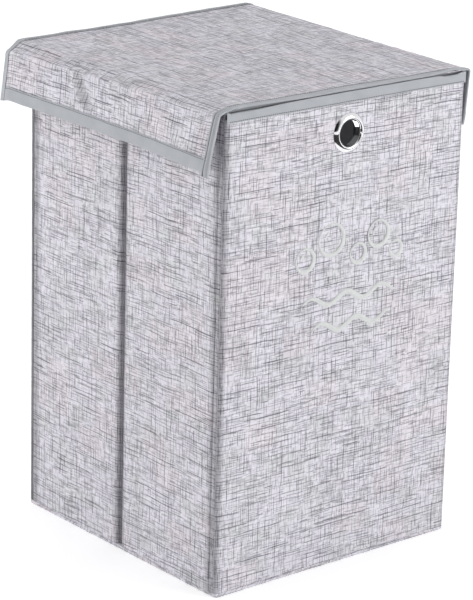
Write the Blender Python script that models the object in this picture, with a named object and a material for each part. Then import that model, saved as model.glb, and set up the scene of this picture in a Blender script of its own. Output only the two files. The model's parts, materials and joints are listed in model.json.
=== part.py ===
"""Folding laundry hamper: a fabric box with a stiff board in each wall, creased side walls, a
flip-up base board, and a lid with two hanging flaps.

The origin is the middle of the base's underside, +Z is up, the front wall faces -Y and left is
-X. Lengths are in metres. The lid is sewn to the top of the front wall. To stow the hamper, the
base board flips up against the back wall, the side walls fold inwards at their creases, and the
front wall comes back with them. Each stiff piece hangs under an empty that stands on its pivot.
"""

import math
from dataclasses import dataclass

import bmesh
import bpy
from mathutils import Vector

# Overall sizes
WIDTH = 0.349  # over the side walls
DEPTH = 0.356  # over the front and back walls
HEIGHT = 0.560  # from the floor to the top of the closed lid

# Sheet stock, and the gap that stands for two faces touching
FABRIC = 0.0007
BOARD = 0.0025
BASE_SHEET = 0.0010
CLEAR = 0.0003

# Folding side walls
STOW_GAP = 0.0075  # from the front or back wall's inner face to the corner pivots
CREASE_GAP = 0.0070  # between the two boards of a side wall
FOLD_PLAY = 0.0002  # how far each pivot stands off the faces that fold together
WEB_RECESS = 0.0015  # how far a corner web lies behind the side wall's outer face

# Tape that binds the raw edges
WALL_TAPE = 0.0100  # height of the tape round the walls' top edges
LID_TAPE = 0.0090  # width of the tape on the lid's front and back edges
FLAP_TAPE = 0.0150  # height of the tape on a flap's bottom edge
FLAP_END_TAPE = 0.0080  # width of the tape on a flap's upright edges

# Lid and flaps
LID_SIDE_OVERHANG = 0.0130  # from a side wall's outer face to the flap's outer face
LID_BACK_OVERHANG = 0.0290
LID_SHOULDER = 0.0110  # soft edge beside the lid's board, at each side
FLAP_DROP = 0.0720  # from the lid's top to the flap's bottom edge
FLAP_SHEET = 0.0014  # two layers of fabric
FLAP_PLAY = 0.0010  # between the lid's edge and a hanging flap

# Base board
BASE_PLAY = 0.0010  # round the base board, where it drops in between the walls

# Eyelets in the front and back walls
EYELET_DROP = 0.0490  # from the lid's top to the eyelet's centre
EYELET_BORE = 0.0300
EYELET_FLANGE = 0.0450
EYELET_RISE = 0.0028  # height of the domed flange over the fabric
EYELET_METAL = 0.0006
EYELET_LIP = 0.0022  # width of the rolled lip that holds the washer
WASHER_DIAMETER = 0.0430
WASHER_THICKNESS = 0.0007
EYELET_SIDES = 40
DOME_STEPS = 8

# Levels and half sizes that follow from the values above
WALL = BOARD + 2 * (FABRIC + CLEAR)
BASE_STACK = BOARD + CLEAR + FABRIC
BASE_TOP = BASE_SHEET + CLEAR + BASE_STACK
FOOT = BASE_TOP + CLEAR
WALL_TOP = HEIGHT - WALL - CLEAR
HALF_WIDTH = WIDTH / 2
HALF_DEPTH = DEPTH / 2
CORNER_X = HALF_WIDTH - WALL - FOLD_PLAY
CORNER_Y = HALF_DEPTH - WALL - STOW_GAP
CREASE_X = HALF_WIDTH + FOLD_PLAY
BASE_HINGE_Y = HALF_DEPTH - WALL - CLEAR
FLAP_OUTER = HALF_WIDTH + LID_SIDE_OVERHANG
FLAP_INNER = FLAP_OUTER - FLAP_SHEET
LID_EDGE = FLAP_INNER - FLAP_PLAY
LID_FRONT = -HALF_DEPTH + FABRIC + CLEAR
LID_BACK = HALF_DEPTH + LID_BACK_OVERHANG

# Each stiff body: the body that carries it, and a point on the pivot between the two
BODIES = {
    "back_wall": (None, (0, 0, 0)),
    "base_board": ("back_wall", (0, BASE_HINGE_Y, BASE_TOP)),
    "left_rear_half": ("back_wall", (-CORNER_X, CORNER_Y, FOOT)),
    "left_front_half": ("left_rear_half", (-CREASE_X, 0, FOOT)),
    "right_rear_half": ("back_wall", (CORNER_X, CORNER_Y, FOOT)),
    "right_front_half": ("right_rear_half", (CREASE_X, 0, FOOT)),
    "front_wall": ("left_front_half", (-CORNER_X, -CORNER_Y, FOOT)),
    "lid": ("front_wall", (0, -HALF_DEPTH, HEIGHT)),
    "left_flap": ("lid", (-FLAP_INNER, 0, HEIGHT)),
    "right_flap": ("lid", (FLAP_INNER, 0, HEIGHT)),
}

# Colour, roughness and metallic value of each finish
FINISHES = {
    "printed_fabric": ((0.60, 0.58, 0.63), 0.90, 0.0),
    "tape": ((0.42, 0.45, 0.46), 0.85, 0.0),
    "lining": ((0.50, 0.50, 0.51), 0.92, 0.0),
    "board": ((0.38, 0.33, 0.27), 0.95, 0.0),
    "chrome": ((0.80, 0.80, 0.82), 0.12, 1.0),
}


@dataclass(frozen=True)
class Wall:
    """A flat stretch of wall: the foot of its outer face, its run, and the way in."""

    start: Vector
    along: Vector
    inward: Vector
    length: float

    def at(self, along, inward, height):
        """The point this far along the wall, in from its outer face, and above the floor."""
        return self.start + self.along * along + self.inward * inward + Vector((0, 0, height))


def clear_scene():
    for old in list(bpy.data.objects):
        bpy.data.objects.remove(old)


def make_pivots():
    """One empty on each body's pivot, parented as the bodies carry each other."""
    pivots = {}
    for body, (carrier, point) in BODIES.items():
        pivot = bpy.data.objects.new(body + "_pivot", None)
        bpy.context.scene.collection.objects.link(pivot)
        pivot.location = point
        if carrier:
            pivot.parent = pivots[carrier]
            pivot.location -= Vector(BODIES[carrier][1])
        pivots[body] = pivot
    return pivots


def make_material(name, finish):
    colour, roughness, metallic = FINISHES[finish]
    material = bpy.data.materials.new(name)
    material.use_nodes = True
    shader = material.node_tree.nodes["Principled BSDF"]
    shader.inputs["Base Color"].default_value = (*colour, 1.0)
    shader.inputs["Roughness"].default_value = roughness
    shader.inputs["Metallic"].default_value = metallic
    return material


class Hamper:
    """Adds pieces to the scene, each under the pivot of the body it belongs to."""

    def __init__(self):
        self.pivots = make_pivots()

    def add(self, name, body, solid, finish):
        """Puts a solid that is drawn where it stands under its body's pivot."""
        bmesh.ops.translate(solid, vec=-Vector(BODIES[body][1]), verts=solid.verts)
        mesh = bpy.data.meshes.new(name)
        solid.to_mesh(mesh)
        solid.free()
        piece = bpy.data.objects.new(name, mesh)
        bpy.context.scene.collection.objects.link(piece)
        piece.parent = self.pivots[body]
        if finish:
            mesh.materials.append(make_material(name, finish))
        return piece


def prism(corners, run):
    """A closed prism from an outline and the vector it is carried along."""
    solid = bmesh.new()
    first = [solid.verts.new(corner) for corner in corners]
    last = [solid.verts.new(corner + run) for corner in corners]
    solid.faces.new(first)
    solid.faces.new(last)
    for index in range(len(first)):
        after = (index + 1) % len(first)
        solid.faces.new((first[index], first[after], last[after], last[index]))
    bmesh.ops.recalc_face_normals(solid, faces=solid.faces)
    return solid


def slab(low, high):
    """A closed box between two opposite corners."""
    (x0, y0, z0), (x1, y1, z1) = low, high
    corners = [Vector(point) for point in ((x0, y0, z0), (x1, y0, z0), (x1, y1, z0), (x0, y1, z0))]
    return prism(corners, Vector((0, 0, z1 - z0)))


def turned(profile, centre, outward):
    """A closed ring: a closed loop of (radius, height) points turned about an axis along Y."""
    solid = bmesh.new()
    rings = []
    for side in range(EYELET_SIDES):
        angle = math.tau * side / EYELET_SIDES
        spoke = Vector((math.cos(angle), 0, math.sin(angle)))
        rings.append([solid.verts.new(centre + spoke * r + outward * h) for r, h in profile])
    for side, ring in enumerate(rings):
        after = rings[(side + 1) % EYELET_SIDES]
        for index in range(len(profile)):
            turn = (index + 1) % len(profile)
            solid.faces.new((ring[index], ring[turn], after[turn], after[index]))
    bmesh.ops.recalc_face_normals(solid, faces=solid.faces)
    return solid


def wrap_outline(length, depth):
    """A sheet over one face of a wall and turned in at both ends, as (along, inward) points."""
    inner = length - FABRIC
    return [
        (0, 0), (length, 0), (length, depth), (inner, depth),
        (inner, FABRIC), (FABRIC, FABRIC), (FABRIC, depth), (0, depth),
    ]


def channel_outline(width, depth, leg):
    """A tape folded over an edge: a channel with its web at the top, as (across, down) points."""
    inner = width - FABRIC
    return [
        (0, 0), (width, 0), (width, leg), (inner, leg),
        (inner, depth), (FABRIC, depth), (FABRIC, leg), (0, leg),
    ]


def make_wall(hamper, prefix, body, wall):
    """The outer fabric, the board, the lining and the top tape of one stiff stretch of wall."""
    fabric_top = WALL_TOP - WALL_TAPE - CLEAR
    lining_face = WALL - FABRIC
    rise = Vector((0, 0, fabric_top - FOOT))
    outline = wrap_outline(wall.length, lining_face - CLEAR)
    cover = prism([wall.at(along, inward, FOOT) for along, inward in outline], rise)
    edge = FABRIC + CLEAR
    board = slab(
        wall.at(edge, edge, FOOT),
        wall.at(wall.length - edge, edge + BOARD, WALL_TOP - edge),
    )
    lining = slab(wall.at(0, lining_face, FOOT), wall.at(wall.length, WALL, fabric_top))
    outline = channel_outline(WALL, FABRIC, WALL_TAPE)
    corners = [wall.at(0, inward, WALL_TOP - down) for inward, down in outline]
    tape = prism(corners, wall.along * wall.length)
    return [
        hamper.add(prefix + "_outer_fabric", body, cover, "printed_fabric"),
        hamper.add(prefix + "_board", body, board, "board"),
        hamper.add(prefix + "_lining", body, lining, "lining"),
        hamper.add(prefix + "_top_tape", body, tape, "tape"),
    ]


def eyelet_profile():
    """A domed flange, a barrel through the wall and a rolled lip behind the washer."""
    bore = EYELET_BORE / 2
    reach = (EYELET_FLANGE / 2 - bore) / 2
    middle = bore + reach
    back = -(WALL + CLEAR + WASHER_THICKNESS + CLEAR)
    turns = [math.pi * step / DOME_STEPS for step in range(DOME_STEPS + 1)]
    outer = [
        (middle - reach * math.cos(turn), CLEAR + EYELET_RISE * math.sin(turn)) for turn in turns
    ]
    inner_reach = reach - EYELET_METAL
    inner_rise = EYELET_RISE - EYELET_METAL
    inner = [
        (middle + inner_reach * math.cos(turn), CLEAR + inner_rise * math.sin(turn))
        for turn in turns
    ]
    barrel = bore + EYELET_METAL
    lip = [
        (barrel, back),
        (barrel + EYELET_LIP, back),
        (barrel + EYELET_LIP, back - EYELET_METAL),
        (bore, back - EYELET_METAL),
    ]
    return outer + inner + lip


def washer_profile():
    hole = EYELET_BORE / 2 + EYELET_METAL + CLEAR
    rim = WASHER_DIAMETER / 2
    near = -(WALL + CLEAR)
    far = near - WASHER_THICKNESS
    return [(hole, near), (rim, near), (rim, far), (hole, far)]


def make_eyelet(hamper, prefix, body, outward, layers):
    """A metal ring and its washer, and the hole that they need through the wall's layers."""
    centre = Vector((0, outward.y * HALF_DEPTH, HEIGHT - EYELET_DROP))
    ring = hamper.add(
        prefix + "_eyelet_ring", body, turned(eyelet_profile(), centre, outward), "chrome"
    )
    washer = hamper.add(
        prefix + "_eyelet_washer", body, turned(washer_profile(), centre, outward), "chrome"
    )
    for piece in (ring, washer):
        piece.data.shade_smooth()
        piece.data.set_sharp_from_angle(angle=math.radians(35))
    cut_radius = EYELET_BORE / 2 + EYELET_METAL + CLEAR
    spokes = [math.tau * side / EYELET_SIDES for side in range(EYELET_SIDES)]
    rim = [Vector((cut_radius * math.cos(a), 0, cut_radius * math.sin(a))) for a in spokes]
    start = centre + outward * WALL
    hole = prism([start + point for point in rim], -outward * 3 * WALL)
    cutter = hamper.add(prefix + "_eyelet_cutter", body, hole, None)
    cutter.hide_render = True
    cutter.display_type = "WIRE"
    for layer in layers:
        cut = layer.modifiers.new("eyelet_hole", "BOOLEAN")
        cut.object = cutter


def make_front_and_back(hamper):
    for prefix, outward in (("front", Vector((0, -1, 0))), ("back", Vector((0, 1, 0)))):
        body = prefix + "_wall"
        start = Vector((-HALF_WIDTH, outward.y * HALF_DEPTH, 0))
        wall = Wall(start, Vector((1, 0, 0)), -outward, WIDTH)
        layers = make_wall(hamper, prefix, body, wall)[:3]
        make_eyelet(hamper, prefix, body, outward, layers)
        for side_name, side in (("left", -1), ("right", 1)):
            web_outer = side * (HALF_WIDTH - WEB_RECESS)
            web = slab(
                (web_outer - side * FABRIC, outward.y * (HALF_DEPTH - WALL - CLEAR), FOOT),
                (web_outer, outward.y * CORNER_Y, WALL_TOP),
            )
            hamper.add(f"{prefix}_{side_name}_corner_web", body, web, "printed_fabric")


def make_side_walls(hamper):
    """Each side wall is two boards, with a web of fabric across the crease between them."""
    length = CORNER_Y - CLEAR - CREASE_GAP / 2
    for side_name, side in (("left", -1), ("right", 1)):
        for half_name, end in (("rear", 1), ("front", -1)):
            start = Vector((side * HALF_WIDTH, end * CREASE_GAP / 2, 0))
            wall = Wall(start, Vector((0, end, 0)), Vector((-side, 0, 0)), length)
            name = f"{side_name}_{half_name}"
            make_wall(hamper, name, name + "_half", wall)
        reach = CREASE_GAP / 2 - CLEAR
        web = slab(
            (side * (HALF_WIDTH - WALL), -reach, FOOT),
            (side * (HALF_WIDTH - WALL + FABRIC), reach, WALL_TOP),
        )
        hamper.add(side_name + "_crease_web", side_name + "_rear_half", web, "printed_fabric")


def make_base(hamper):
    """The base sheet, a hem along each of its edges, and the board that drops in over it."""
    sheet = slab((-HALF_WIDTH, -HALF_DEPTH, 0), (HALF_WIDTH, HALF_DEPTH, BASE_SHEET))
    hamper.add("base_sheet", "back_wall", sheet, "printed_fabric")
    low, high = BASE_SHEET + CLEAR, BASE_TOP
    for name, end in (("front", -1), ("back", 1)):
        hem = slab(
            (-HALF_WIDTH, end * (HALF_DEPTH - WALL), low), (HALF_WIDTH, end * HALF_DEPTH, high)
        )
        hamper.add(name + "_bottom_hem", "back_wall", hem, "printed_fabric")
    reach = HALF_DEPTH - WALL - CLEAR
    for name, side in (("left", -1), ("right", 1)):
        hem = slab(
            (side * (HALF_WIDTH - WALL), -reach, low), (side * HALF_WIDTH, reach, high)
        )
        hamper.add(name + "_bottom_hem", "back_wall", hem, "printed_fabric")
    half = HALF_WIDTH - WALL - BASE_PLAY
    front = -(HALF_DEPTH - WALL - BASE_PLAY)
    board = slab((-half, front, low), (half, BASE_HINGE_Y, low + BOARD))
    hamper.add("base_board", "base_board", board, "board")
    cover = slab((-half, front, high - FABRIC), (half, BASE_HINGE_Y, high))
    hamper.add("base_board_cover", "base_board", cover, "lining")


def make_lid(hamper):
    """A board between two sheets of fabric, with tape folded over the front and back edges."""
    under = HEIGHT - WALL
    edge = FABRIC + CLEAR
    board_half = LID_EDGE - LID_SHOULDER
    board = slab(
        (-board_half, LID_FRONT + edge, under + edge),
        (board_half, LID_BACK - edge, under + edge + BOARD),
    )
    hamper.add("lid_board", "lid", board, "board")
    front, back = LID_FRONT + LID_TAPE + CLEAR, LID_BACK - LID_TAPE - CLEAR
    top = slab((-LID_EDGE, front, HEIGHT - FABRIC), (LID_EDGE, back, HEIGHT))
    hamper.add("lid_top_fabric", "lid", top, "printed_fabric")
    lining = slab((-LID_EDGE, front, under), (LID_EDGE, back, under + FABRIC))
    hamper.add("lid_lining", "lid", lining, "lining")
    for name, rim, inward in (("front", LID_FRONT, 1), ("back", LID_BACK, -1)):
        outline = channel_outline(WALL, FABRIC, LID_TAPE)
        corners = [
            Vector((-LID_EDGE, rim + inward * in_, under + up)) for up, in_ in outline
        ]
        tape = prism(corners, Vector((2 * LID_EDGE, 0, 0)))
        hamper.add(f"lid_{name}_tape", "lid", tape, "tape")
    strip = slab(
        (-LID_EDGE + LID_SIDE_OVERHANG, -HALF_DEPTH, WALL_TOP + CLEAR),
        (LID_EDGE - LID_SIDE_OVERHANG, -HALF_DEPTH + FABRIC, HEIGHT),
    )
    hamper.add("lid_hinge_strip", "front_wall", strip, "tape")


def make_flaps(hamper):
    """Two soft flaps that hang from the lid's side edges, each with tape round three edges."""
    bottom = HEIGHT - FLAP_DROP
    for name, side in (("left", -1), ("right", 1)):
        inner = side * FLAP_INNER
        outward = Vector((side * FLAP_SHEET, 0, 0))
        body = name + "_flap"
        near, far = LID_FRONT + FLAP_END_TAPE, LID_BACK - FLAP_END_TAPE
        fabric = slab(
            (inner, near + CLEAR, bottom + FLAP_TAPE + CLEAR),
            (inner + outward.x, far - CLEAR, HEIGHT),
        )
        hamper.add(body + "_fabric", body, fabric, "printed_fabric")
        outline = [
            (LID_FRONT, HEIGHT), (LID_FRONT, bottom), (LID_BACK, bottom), (LID_BACK, HEIGHT),
            (far, HEIGHT), (far, bottom + FLAP_TAPE), (near, bottom + FLAP_TAPE), (near, HEIGHT),
        ]
        tape = prism([Vector((inner, y, z)) for y, z in outline], outward)
        hamper.add(body + "_tape", body, tape, "tape")


def main():
    clear_scene()
    hamper = Hamper()
    make_base(hamper)
    make_front_and_back(hamper)
    make_side_walls(hamper)
    make_lid(hamper)
    make_flaps(hamper)


main()
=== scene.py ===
"""The looks of a folding fabric laundry hamper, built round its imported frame."""

from __future__ import annotations

import json
import logging
import math
from dataclasses import dataclass
from enum import Enum

import bpy
import numpy as np
from mathutils import Matrix, Vector

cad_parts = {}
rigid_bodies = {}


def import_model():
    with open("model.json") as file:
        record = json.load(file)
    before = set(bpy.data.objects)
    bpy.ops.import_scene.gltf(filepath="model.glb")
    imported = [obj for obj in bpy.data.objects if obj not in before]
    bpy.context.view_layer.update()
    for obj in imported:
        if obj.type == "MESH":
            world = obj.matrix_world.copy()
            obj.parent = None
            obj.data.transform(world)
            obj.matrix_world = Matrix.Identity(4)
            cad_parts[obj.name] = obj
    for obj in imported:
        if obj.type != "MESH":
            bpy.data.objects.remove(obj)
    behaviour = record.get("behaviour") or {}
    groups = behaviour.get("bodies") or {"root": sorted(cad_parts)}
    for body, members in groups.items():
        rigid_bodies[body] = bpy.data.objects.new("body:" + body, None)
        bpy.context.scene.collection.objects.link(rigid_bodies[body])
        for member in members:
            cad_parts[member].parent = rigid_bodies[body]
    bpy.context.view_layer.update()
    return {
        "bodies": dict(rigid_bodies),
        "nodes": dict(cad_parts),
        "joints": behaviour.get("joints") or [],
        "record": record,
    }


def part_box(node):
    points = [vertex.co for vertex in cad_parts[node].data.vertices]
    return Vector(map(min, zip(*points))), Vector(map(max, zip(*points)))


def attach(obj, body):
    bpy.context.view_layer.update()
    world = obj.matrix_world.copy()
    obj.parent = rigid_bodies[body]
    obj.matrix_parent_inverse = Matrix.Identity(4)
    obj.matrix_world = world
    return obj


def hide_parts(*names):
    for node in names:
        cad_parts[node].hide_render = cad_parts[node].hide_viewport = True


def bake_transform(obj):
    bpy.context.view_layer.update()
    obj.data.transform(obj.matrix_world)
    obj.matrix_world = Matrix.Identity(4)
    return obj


LOG = logging.getLogger("hamper")
MM = 0.001
UP = np.array([0.0, 0.0, 1.0])
CLOTH_UV = "cloth"
# The attribute that carries painted shade for folds, recesses and rounded edges.
SEAM_SHADE = "seam"
SHARP = math.radians(48)
TAPE = 0.4 * MM
LINING = 0.5 * MM
STITCH = (2.6 * MM, 0.50 * MM)
STRIP = 8 * MM


class Side(Enum):
    """The two sides of the hamper, by the sign of X."""

    LEFT = -1
    RIGHT = 1

    @property
    def word(self) -> str:
        """The side's name in lower case."""
        return self.name.lower()


class Way(Enum):
    """The way that a printed stroke runs on the cloth."""

    ALONG = 0
    UPRIGHT = 1


# ---------------------------------------------------------------- meshes


def smoothstep(low: float, high: float, value: np.ndarray) -> np.ndarray:
    """Rises from 0 at low to 1 at high, level at both ends."""
    share = np.clip((value - low) / (high - low), 0.0, 1.0)
    return share * share * (3 - 2 * share)


def stations(length: float, step: float, ends: tuple[float, ...] = ()) -> np.ndarray:
    """Places along a run, about a step apart, with extra ones near each end.

    Args:
        length: the run's length in metres.
        step: the distance between places away from the ends.
        ends: distances from both ends that get a place of their own.

    Returns:
        The places in rising order, the first 0 and the last the length.
    """
    count = max(2, int(round(length / step)) + 1)
    even = np.linspace(0, length, count)
    near = np.array(ends, float)
    inner = even[(even > near.max(initial=0)) & (even < length - near.max(initial=0))]
    return np.unique(np.concatenate([[0.0], near, inner, length - near, [length]]))


def rounded(corners: list[tuple[float, float]], radii: list[float], step: float) -> np.ndarray:
    """A polyline in a plane with each inner corner turned into an arc.

    The arc starts and ends a radius away from the corner, as a quadratic curve between the two.

    Args:
        corners: the points of the polyline.
        radii: how far from each inner corner its arc starts, one for each.
        step: the longest distance between points on a straight stretch.

    Returns:
        The points, one row each.
    """
    points = np.array(corners, float)
    path = [points[:1]]
    for index, radius in enumerate(radii, start=1):
        before, here, after = points[index - 1 : index + 2]
        start = here + (before - here) / np.linalg.norm(before - here) * radius
        end = here + (after - here) / np.linalg.norm(after - here) * radius
        turn = np.linspace(0, 1, 7)[:, None]
        arc = start * (1 - turn) ** 2 + here * 2 * turn * (1 - turn) + end * turn**2
        path += [straight(path[-1][-1], start, step), arc[1:]]
    path.append(straight(path[-1][-1], points[-1], step))
    return np.concatenate(path)


def straight(start: np.ndarray, end: np.ndarray, step: float) -> np.ndarray:
    """The points after start on the straight line to end, at most a step apart."""
    count = max(1, int(math.ceil(np.linalg.norm(end - start) / step - 1e-6)))
    return start + (end - start) * np.linspace(0, 1, count + 1)[1:, None]


def cells(grid: np.ndarray) -> np.ndarray:
    """The values at the four corners of each cell of a grid, in turn round it."""
    return np.stack([grid[:-1, :-1], grid[1:, :-1], grid[1:, 1:], grid[:-1, 1:]], 2)


def across(rows: np.ndarray, columns: np.ndarray) -> tuple[np.ndarray, np.ndarray]:
    """A grid's two coordinates, one set along its rows and the other along its columns."""
    first, second = np.meshgrid(rows, columns, indexing="ij")
    return first, second


def lengths(path: np.ndarray) -> np.ndarray:
    """The distance along a path at each of its points."""
    legs = np.linalg.norm(np.diff(path, axis=0), axis=1)
    return np.concatenate([[0.0], np.cumsum(legs)])


def columns_at(whole: np.ndarray, share: np.ndarray) -> np.ndarray:
    """A grid read at shares of the way across it, on straight lines between its columns."""
    last = whole.shape[1] - 1
    here = share * last
    low = np.clip(here.astype(int), 0, last - 1)
    part = here - low
    return whole[:, low] * (1 - part) + whole[:, low + 1] * part


def between(places: np.ndarray, run: np.ndarray, values: np.ndarray) -> np.ndarray:
    """The rows of values given at the distances run, read at other distances along it."""
    return np.stack([np.interp(places, run, column) for column in values.T], -1)


def unit(vectors: np.ndarray) -> np.ndarray:
    """Each vector cut to a length of one."""
    return vectors / np.linalg.norm(vectors, axis=-1, keepdims=True)


def piece(name: str, points: np.ndarray, faces: list, corners: np.ndarray) -> bpy.types.Object:
    """A mesh object with a cloth map in metres and its faces turned outwards.

    The signed volume, a sixth of the sum of each corner fan's triple product, tells which way they point.

    Args:
        name: the piece's name.
        points: its points, one row each.
        faces: lists of point numbers.
        corners: the cloth map at each face corner, in the order of the faces.

    Returns:
        The object, linked to the scene.
    """
    mesh = bpy.data.meshes.new(name)
    mesh.from_pydata(points.tolist(), [], faces)
    layer = mesh.uv_layers.new(name=CLOTH_UV)
    layer.data.foreach_set("uv", np.asarray(corners, np.float32).ravel())
    mesh.calc_loop_triangles()
    triangles = np.empty(len(mesh.loop_triangles) * 3, np.int32)
    mesh.loop_triangles.foreach_get("vertices", triangles)
    a, b, c = points[triangles.reshape(-1, 3)].transpose(1, 0, 2)
    if np.einsum("ij,ij->i", a, np.cross(b, c)).sum() < 0:
        mesh.flip_normals()
    mesh.shade_smooth()
    mesh.set_sharp_from_angle(angle=SHARP)
    mesh.validate()
    obj = bpy.data.objects.new(name, mesh)
    bpy.context.scene.collection.objects.link(obj)
    return obj


def shell(name: str, face: np.ndarray, cloth: np.ndarray, thickness: float) -> bpy.types.Object:
    """A closed sheet: an outer face on a grid, the same grid set in along its normals, and a rim.

    Args:
        name: the piece's name.
        face: the outer face, rows by columns by 3. Rows crossed with columns point outwards.
        cloth: the cloth map at each grid point, in metres.
        thickness: how far in the other face lies.

    Returns:
        The object, linked to the scene.
    """
    rows, columns = face.shape[:2]
    normal = unit(np.cross(np.gradient(face, axis=0), np.gradient(face, axis=1)))
    points = np.concatenate([face.reshape(-1, 3), (face - normal * thickness).reshape(-1, 3)])
    place = np.arange(rows * columns).reshape(rows, columns)
    outer = cells(place).reshape(-1, 4)
    inner = outer[:, ::-1] + rows * columns
    edge = np.concatenate([place[:, 0], place[-1, 1:], place[-2::-1, -1], place[0, -2:0:-1]])
    after = np.roll(edge, -1)
    rim = np.stack([after, edge, edge + rows * columns, after + rows * columns], -1)
    faces = np.concatenate([outer, inner, rim])
    flat = np.tile(cloth.reshape(-1, 2), (2, 1))
    return piece(name, points, faces.tolist(), flat[faces])


def tube(name: str, rings: np.ndarray, cloth: np.ndarray, looped: bool) -> bpy.types.Object:
    """A closed solid skinned over rings of points, joined end to end or capped.

    Args:
        name: the piece's name.
        rings: rings by points by 3.
        cloth: the map at each ring point and once more at the seam, rings by points + 1 by 2.
            A looped tube has one row more, for its own seam.
        looped: whether the last ring joins the first.

    Returns:
        The object, linked to the scene.
    """
    count, around = rings.shape[:2]
    place = np.arange(count * around).reshape(count, around)
    wide = np.concatenate([place, place[:, :1]], 1)
    if looped:
        wide = np.concatenate([wide, wide[:1]])
    faces = cells(wide).reshape(-1, 4).tolist()
    corners = [cells(cloth).reshape(-1, 2)]
    if not looped:
        faces += [place[0].tolist(), place[-1, ::-1].tolist()]
        corners += [cloth[0, :-1], cloth[-1, :-1][::-1]]
    return piece(name, rings.reshape(-1, 3), faces, np.concatenate(corners))


def joined(name: str, parts: list[bpy.types.Object]) -> bpy.types.Object:
    """Several objects made into one mesh object, with the first one's material slots."""
    with bpy.context.temp_override(active_object=parts[0], selected_editable_objects=parts):
        bpy.ops.object.join()
    whole = parts[0]
    whole.name = whole.data.name = name
    return whole


def punch(obj: bpy.types.Object, centre: np.ndarray, radius: float) -> None:
    """Cuts a round hole through a sheet, along Y.

    Args:
        obj: the sheet.
        centre: a point on the hole's axis.
        radius: the hole's radius.
    """
    count, reach = 72, 20 * MM
    turn = np.linspace(0, math.tau, count + 1)[:-1]
    spoke = np.stack([np.cos(turn), np.zeros_like(turn), np.sin(turn)], -1) * radius
    ends = np.array([[[0, -reach, 0]], [[0, reach, 0]]])
    cutter = tube("cutter", centre + spoke[None] + ends, np.zeros((2, count + 1, 2)), looped=False)
    cut = obj.modifiers.new("hole", "BOOLEAN")
    cut.object = cutter
    graph = bpy.context.evaluated_depsgraph_get()
    whole = bpy.data.meshes.new_from_object(obj.evaluated_get(graph), depsgraph=graph)
    obj.modifiers.clear()
    obj.data, old = whole, obj.data
    whole.name = obj.name
    bpy.data.meshes.remove(old)
    bpy.data.objects.remove(cutter)


def stitches(name: str, path: np.ndarray, normal: np.ndarray) -> bpy.types.Object:
    """A row of sewn stitches: short flattened beads laid end to end along a path.

    Each bead is an ellipsoid skinned over rings whose radius goes with the sine along it.

    Args:
        name: the piece's name.
        path: the points that the seam follows.
        normal: the way out of the cloth at each point.

    Returns:
        The object, linked to the scene.
    """
    pitch, radius = STITCH
    run = lengths(path)
    places = np.arange(pitch / 2, run[-1], pitch)
    centre = between(places, run, path)
    out = unit(between(places, run, normal))
    forward = unit(between(places + pitch / 2, run, path) - between(places - pitch / 2, run, path))
    side = np.cross(forward, out)
    lean = np.linspace(0.06, 0.94, 5) * math.pi
    turn = np.linspace(0, math.tau, 7)[:-1]
    sweep = -np.cos(lean)[None, :, None, None] * forward[:, None, None, :] * (0.40 * pitch)
    swell = np.sin(lean)[None, :, None, None] * radius
    ring = np.cos(turn)[None, None, :, None] * side[:, None, None, :]
    ring = ring + 0.6 * np.sin(turn)[None, None, :, None] * out[:, None, None, :]
    points = centre[:, None, None, :] + sweep + swell * ring
    beads, rings, around = points.shape[:3]
    place = np.arange(rings * around).reshape(rings, around)
    wide = np.concatenate([place, place[:, :1]], 1)
    one = cells(wide).reshape(-1, 4).tolist() + [place[0].tolist(), place[-1, ::-1].tolist()]
    faces = [[n + bead * rings * around for n in face] for bead in range(beads) for face in one]
    corners = sum(len(face) for face in faces)
    return piece(name, points.reshape(-1, 3), faces, np.zeros((corners, 2)))


def dress(
    obj: bpy.types.Object,
    finish: bpy.types.Material,
    nodes: tuple[str, ...] = (),
    body: str | None = None,
) -> None:
    """Gives a piece its material, hides the CAD nodes that it stands for, and hangs it on its body.

    Args:
        obj: the piece.
        finish: its material.
        nodes: the CAD nodes that it stands for.
        body: the body that carries it, where it is only one.
    """
    obj.data.materials.append(finish)
    if nodes:
        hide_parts(*nodes)
    if body:
        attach(obj, body)


def shade_seam(obj: bpy.types.Object, amount: np.ndarray) -> None:
    """Writes painted shade, 0 to 1, for a shell's grid of points: darker in folds and recesses and near a
    cover's upright edges.
    """
    layer = obj.data.attributes.new(SEAM_SHADE, "FLOAT", "POINT")
    layer.data.foreach_set("value", np.tile(amount.ravel(), 2).astype(np.float32))


@dataclass(frozen=True)
class Ripple:
    """Gentle unevenness: the mean of several plane waves with seeded lengths, headings and phases."""

    amplitude: float
    shortest: float
    longest: float
    seed: int
    waves: int = 7

    def at(self, u: np.ndarray, v: np.ndarray) -> np.ndarray:
        """The height at each place, in metres."""
        dice = np.random.default_rng(self.seed)
        length = dice.uniform(self.shortest, self.longest, self.waves)
        heading = dice.uniform(0, math.tau, self.waves)
        phase = dice.uniform(0, math.tau, self.waves)
        travel = u[..., None] * np.cos(heading) + v[..., None] * np.sin(heading)
        return self.amplitude * np.sin(math.tau * travel / length + phase).mean(-1) * 2


@dataclass(frozen=True)
class Crease:
    """A wrinkle along a straight line: a bell across it that fades out at both ends."""

    start: tuple[float, float]
    end: tuple[float, float]
    width: float
    height: float

    def at(self, u: np.ndarray, v: np.ndarray) -> np.ndarray:
        """The height at each place, in metres."""
        start, end = np.array(self.start), np.array(self.end)
        run = np.linalg.norm(end - start)
        way = (end - start) / run
        along = (u - start[0]) * way[0] + (v - start[1]) * way[1]
        off = (u - start[0]) * way[1] - (v - start[1]) * way[0]
        before, after = -0.15 * run, 0.35 * run
        fade = smoothstep(before, after, along) * smoothstep(before, after, run - along)
        side = np.where(off > 0, self.width * 0.55, self.width)
        return self.height * np.exp(-((off / side) ** 2)) * fade


# ---------------------------------------------------------------- materials


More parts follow.
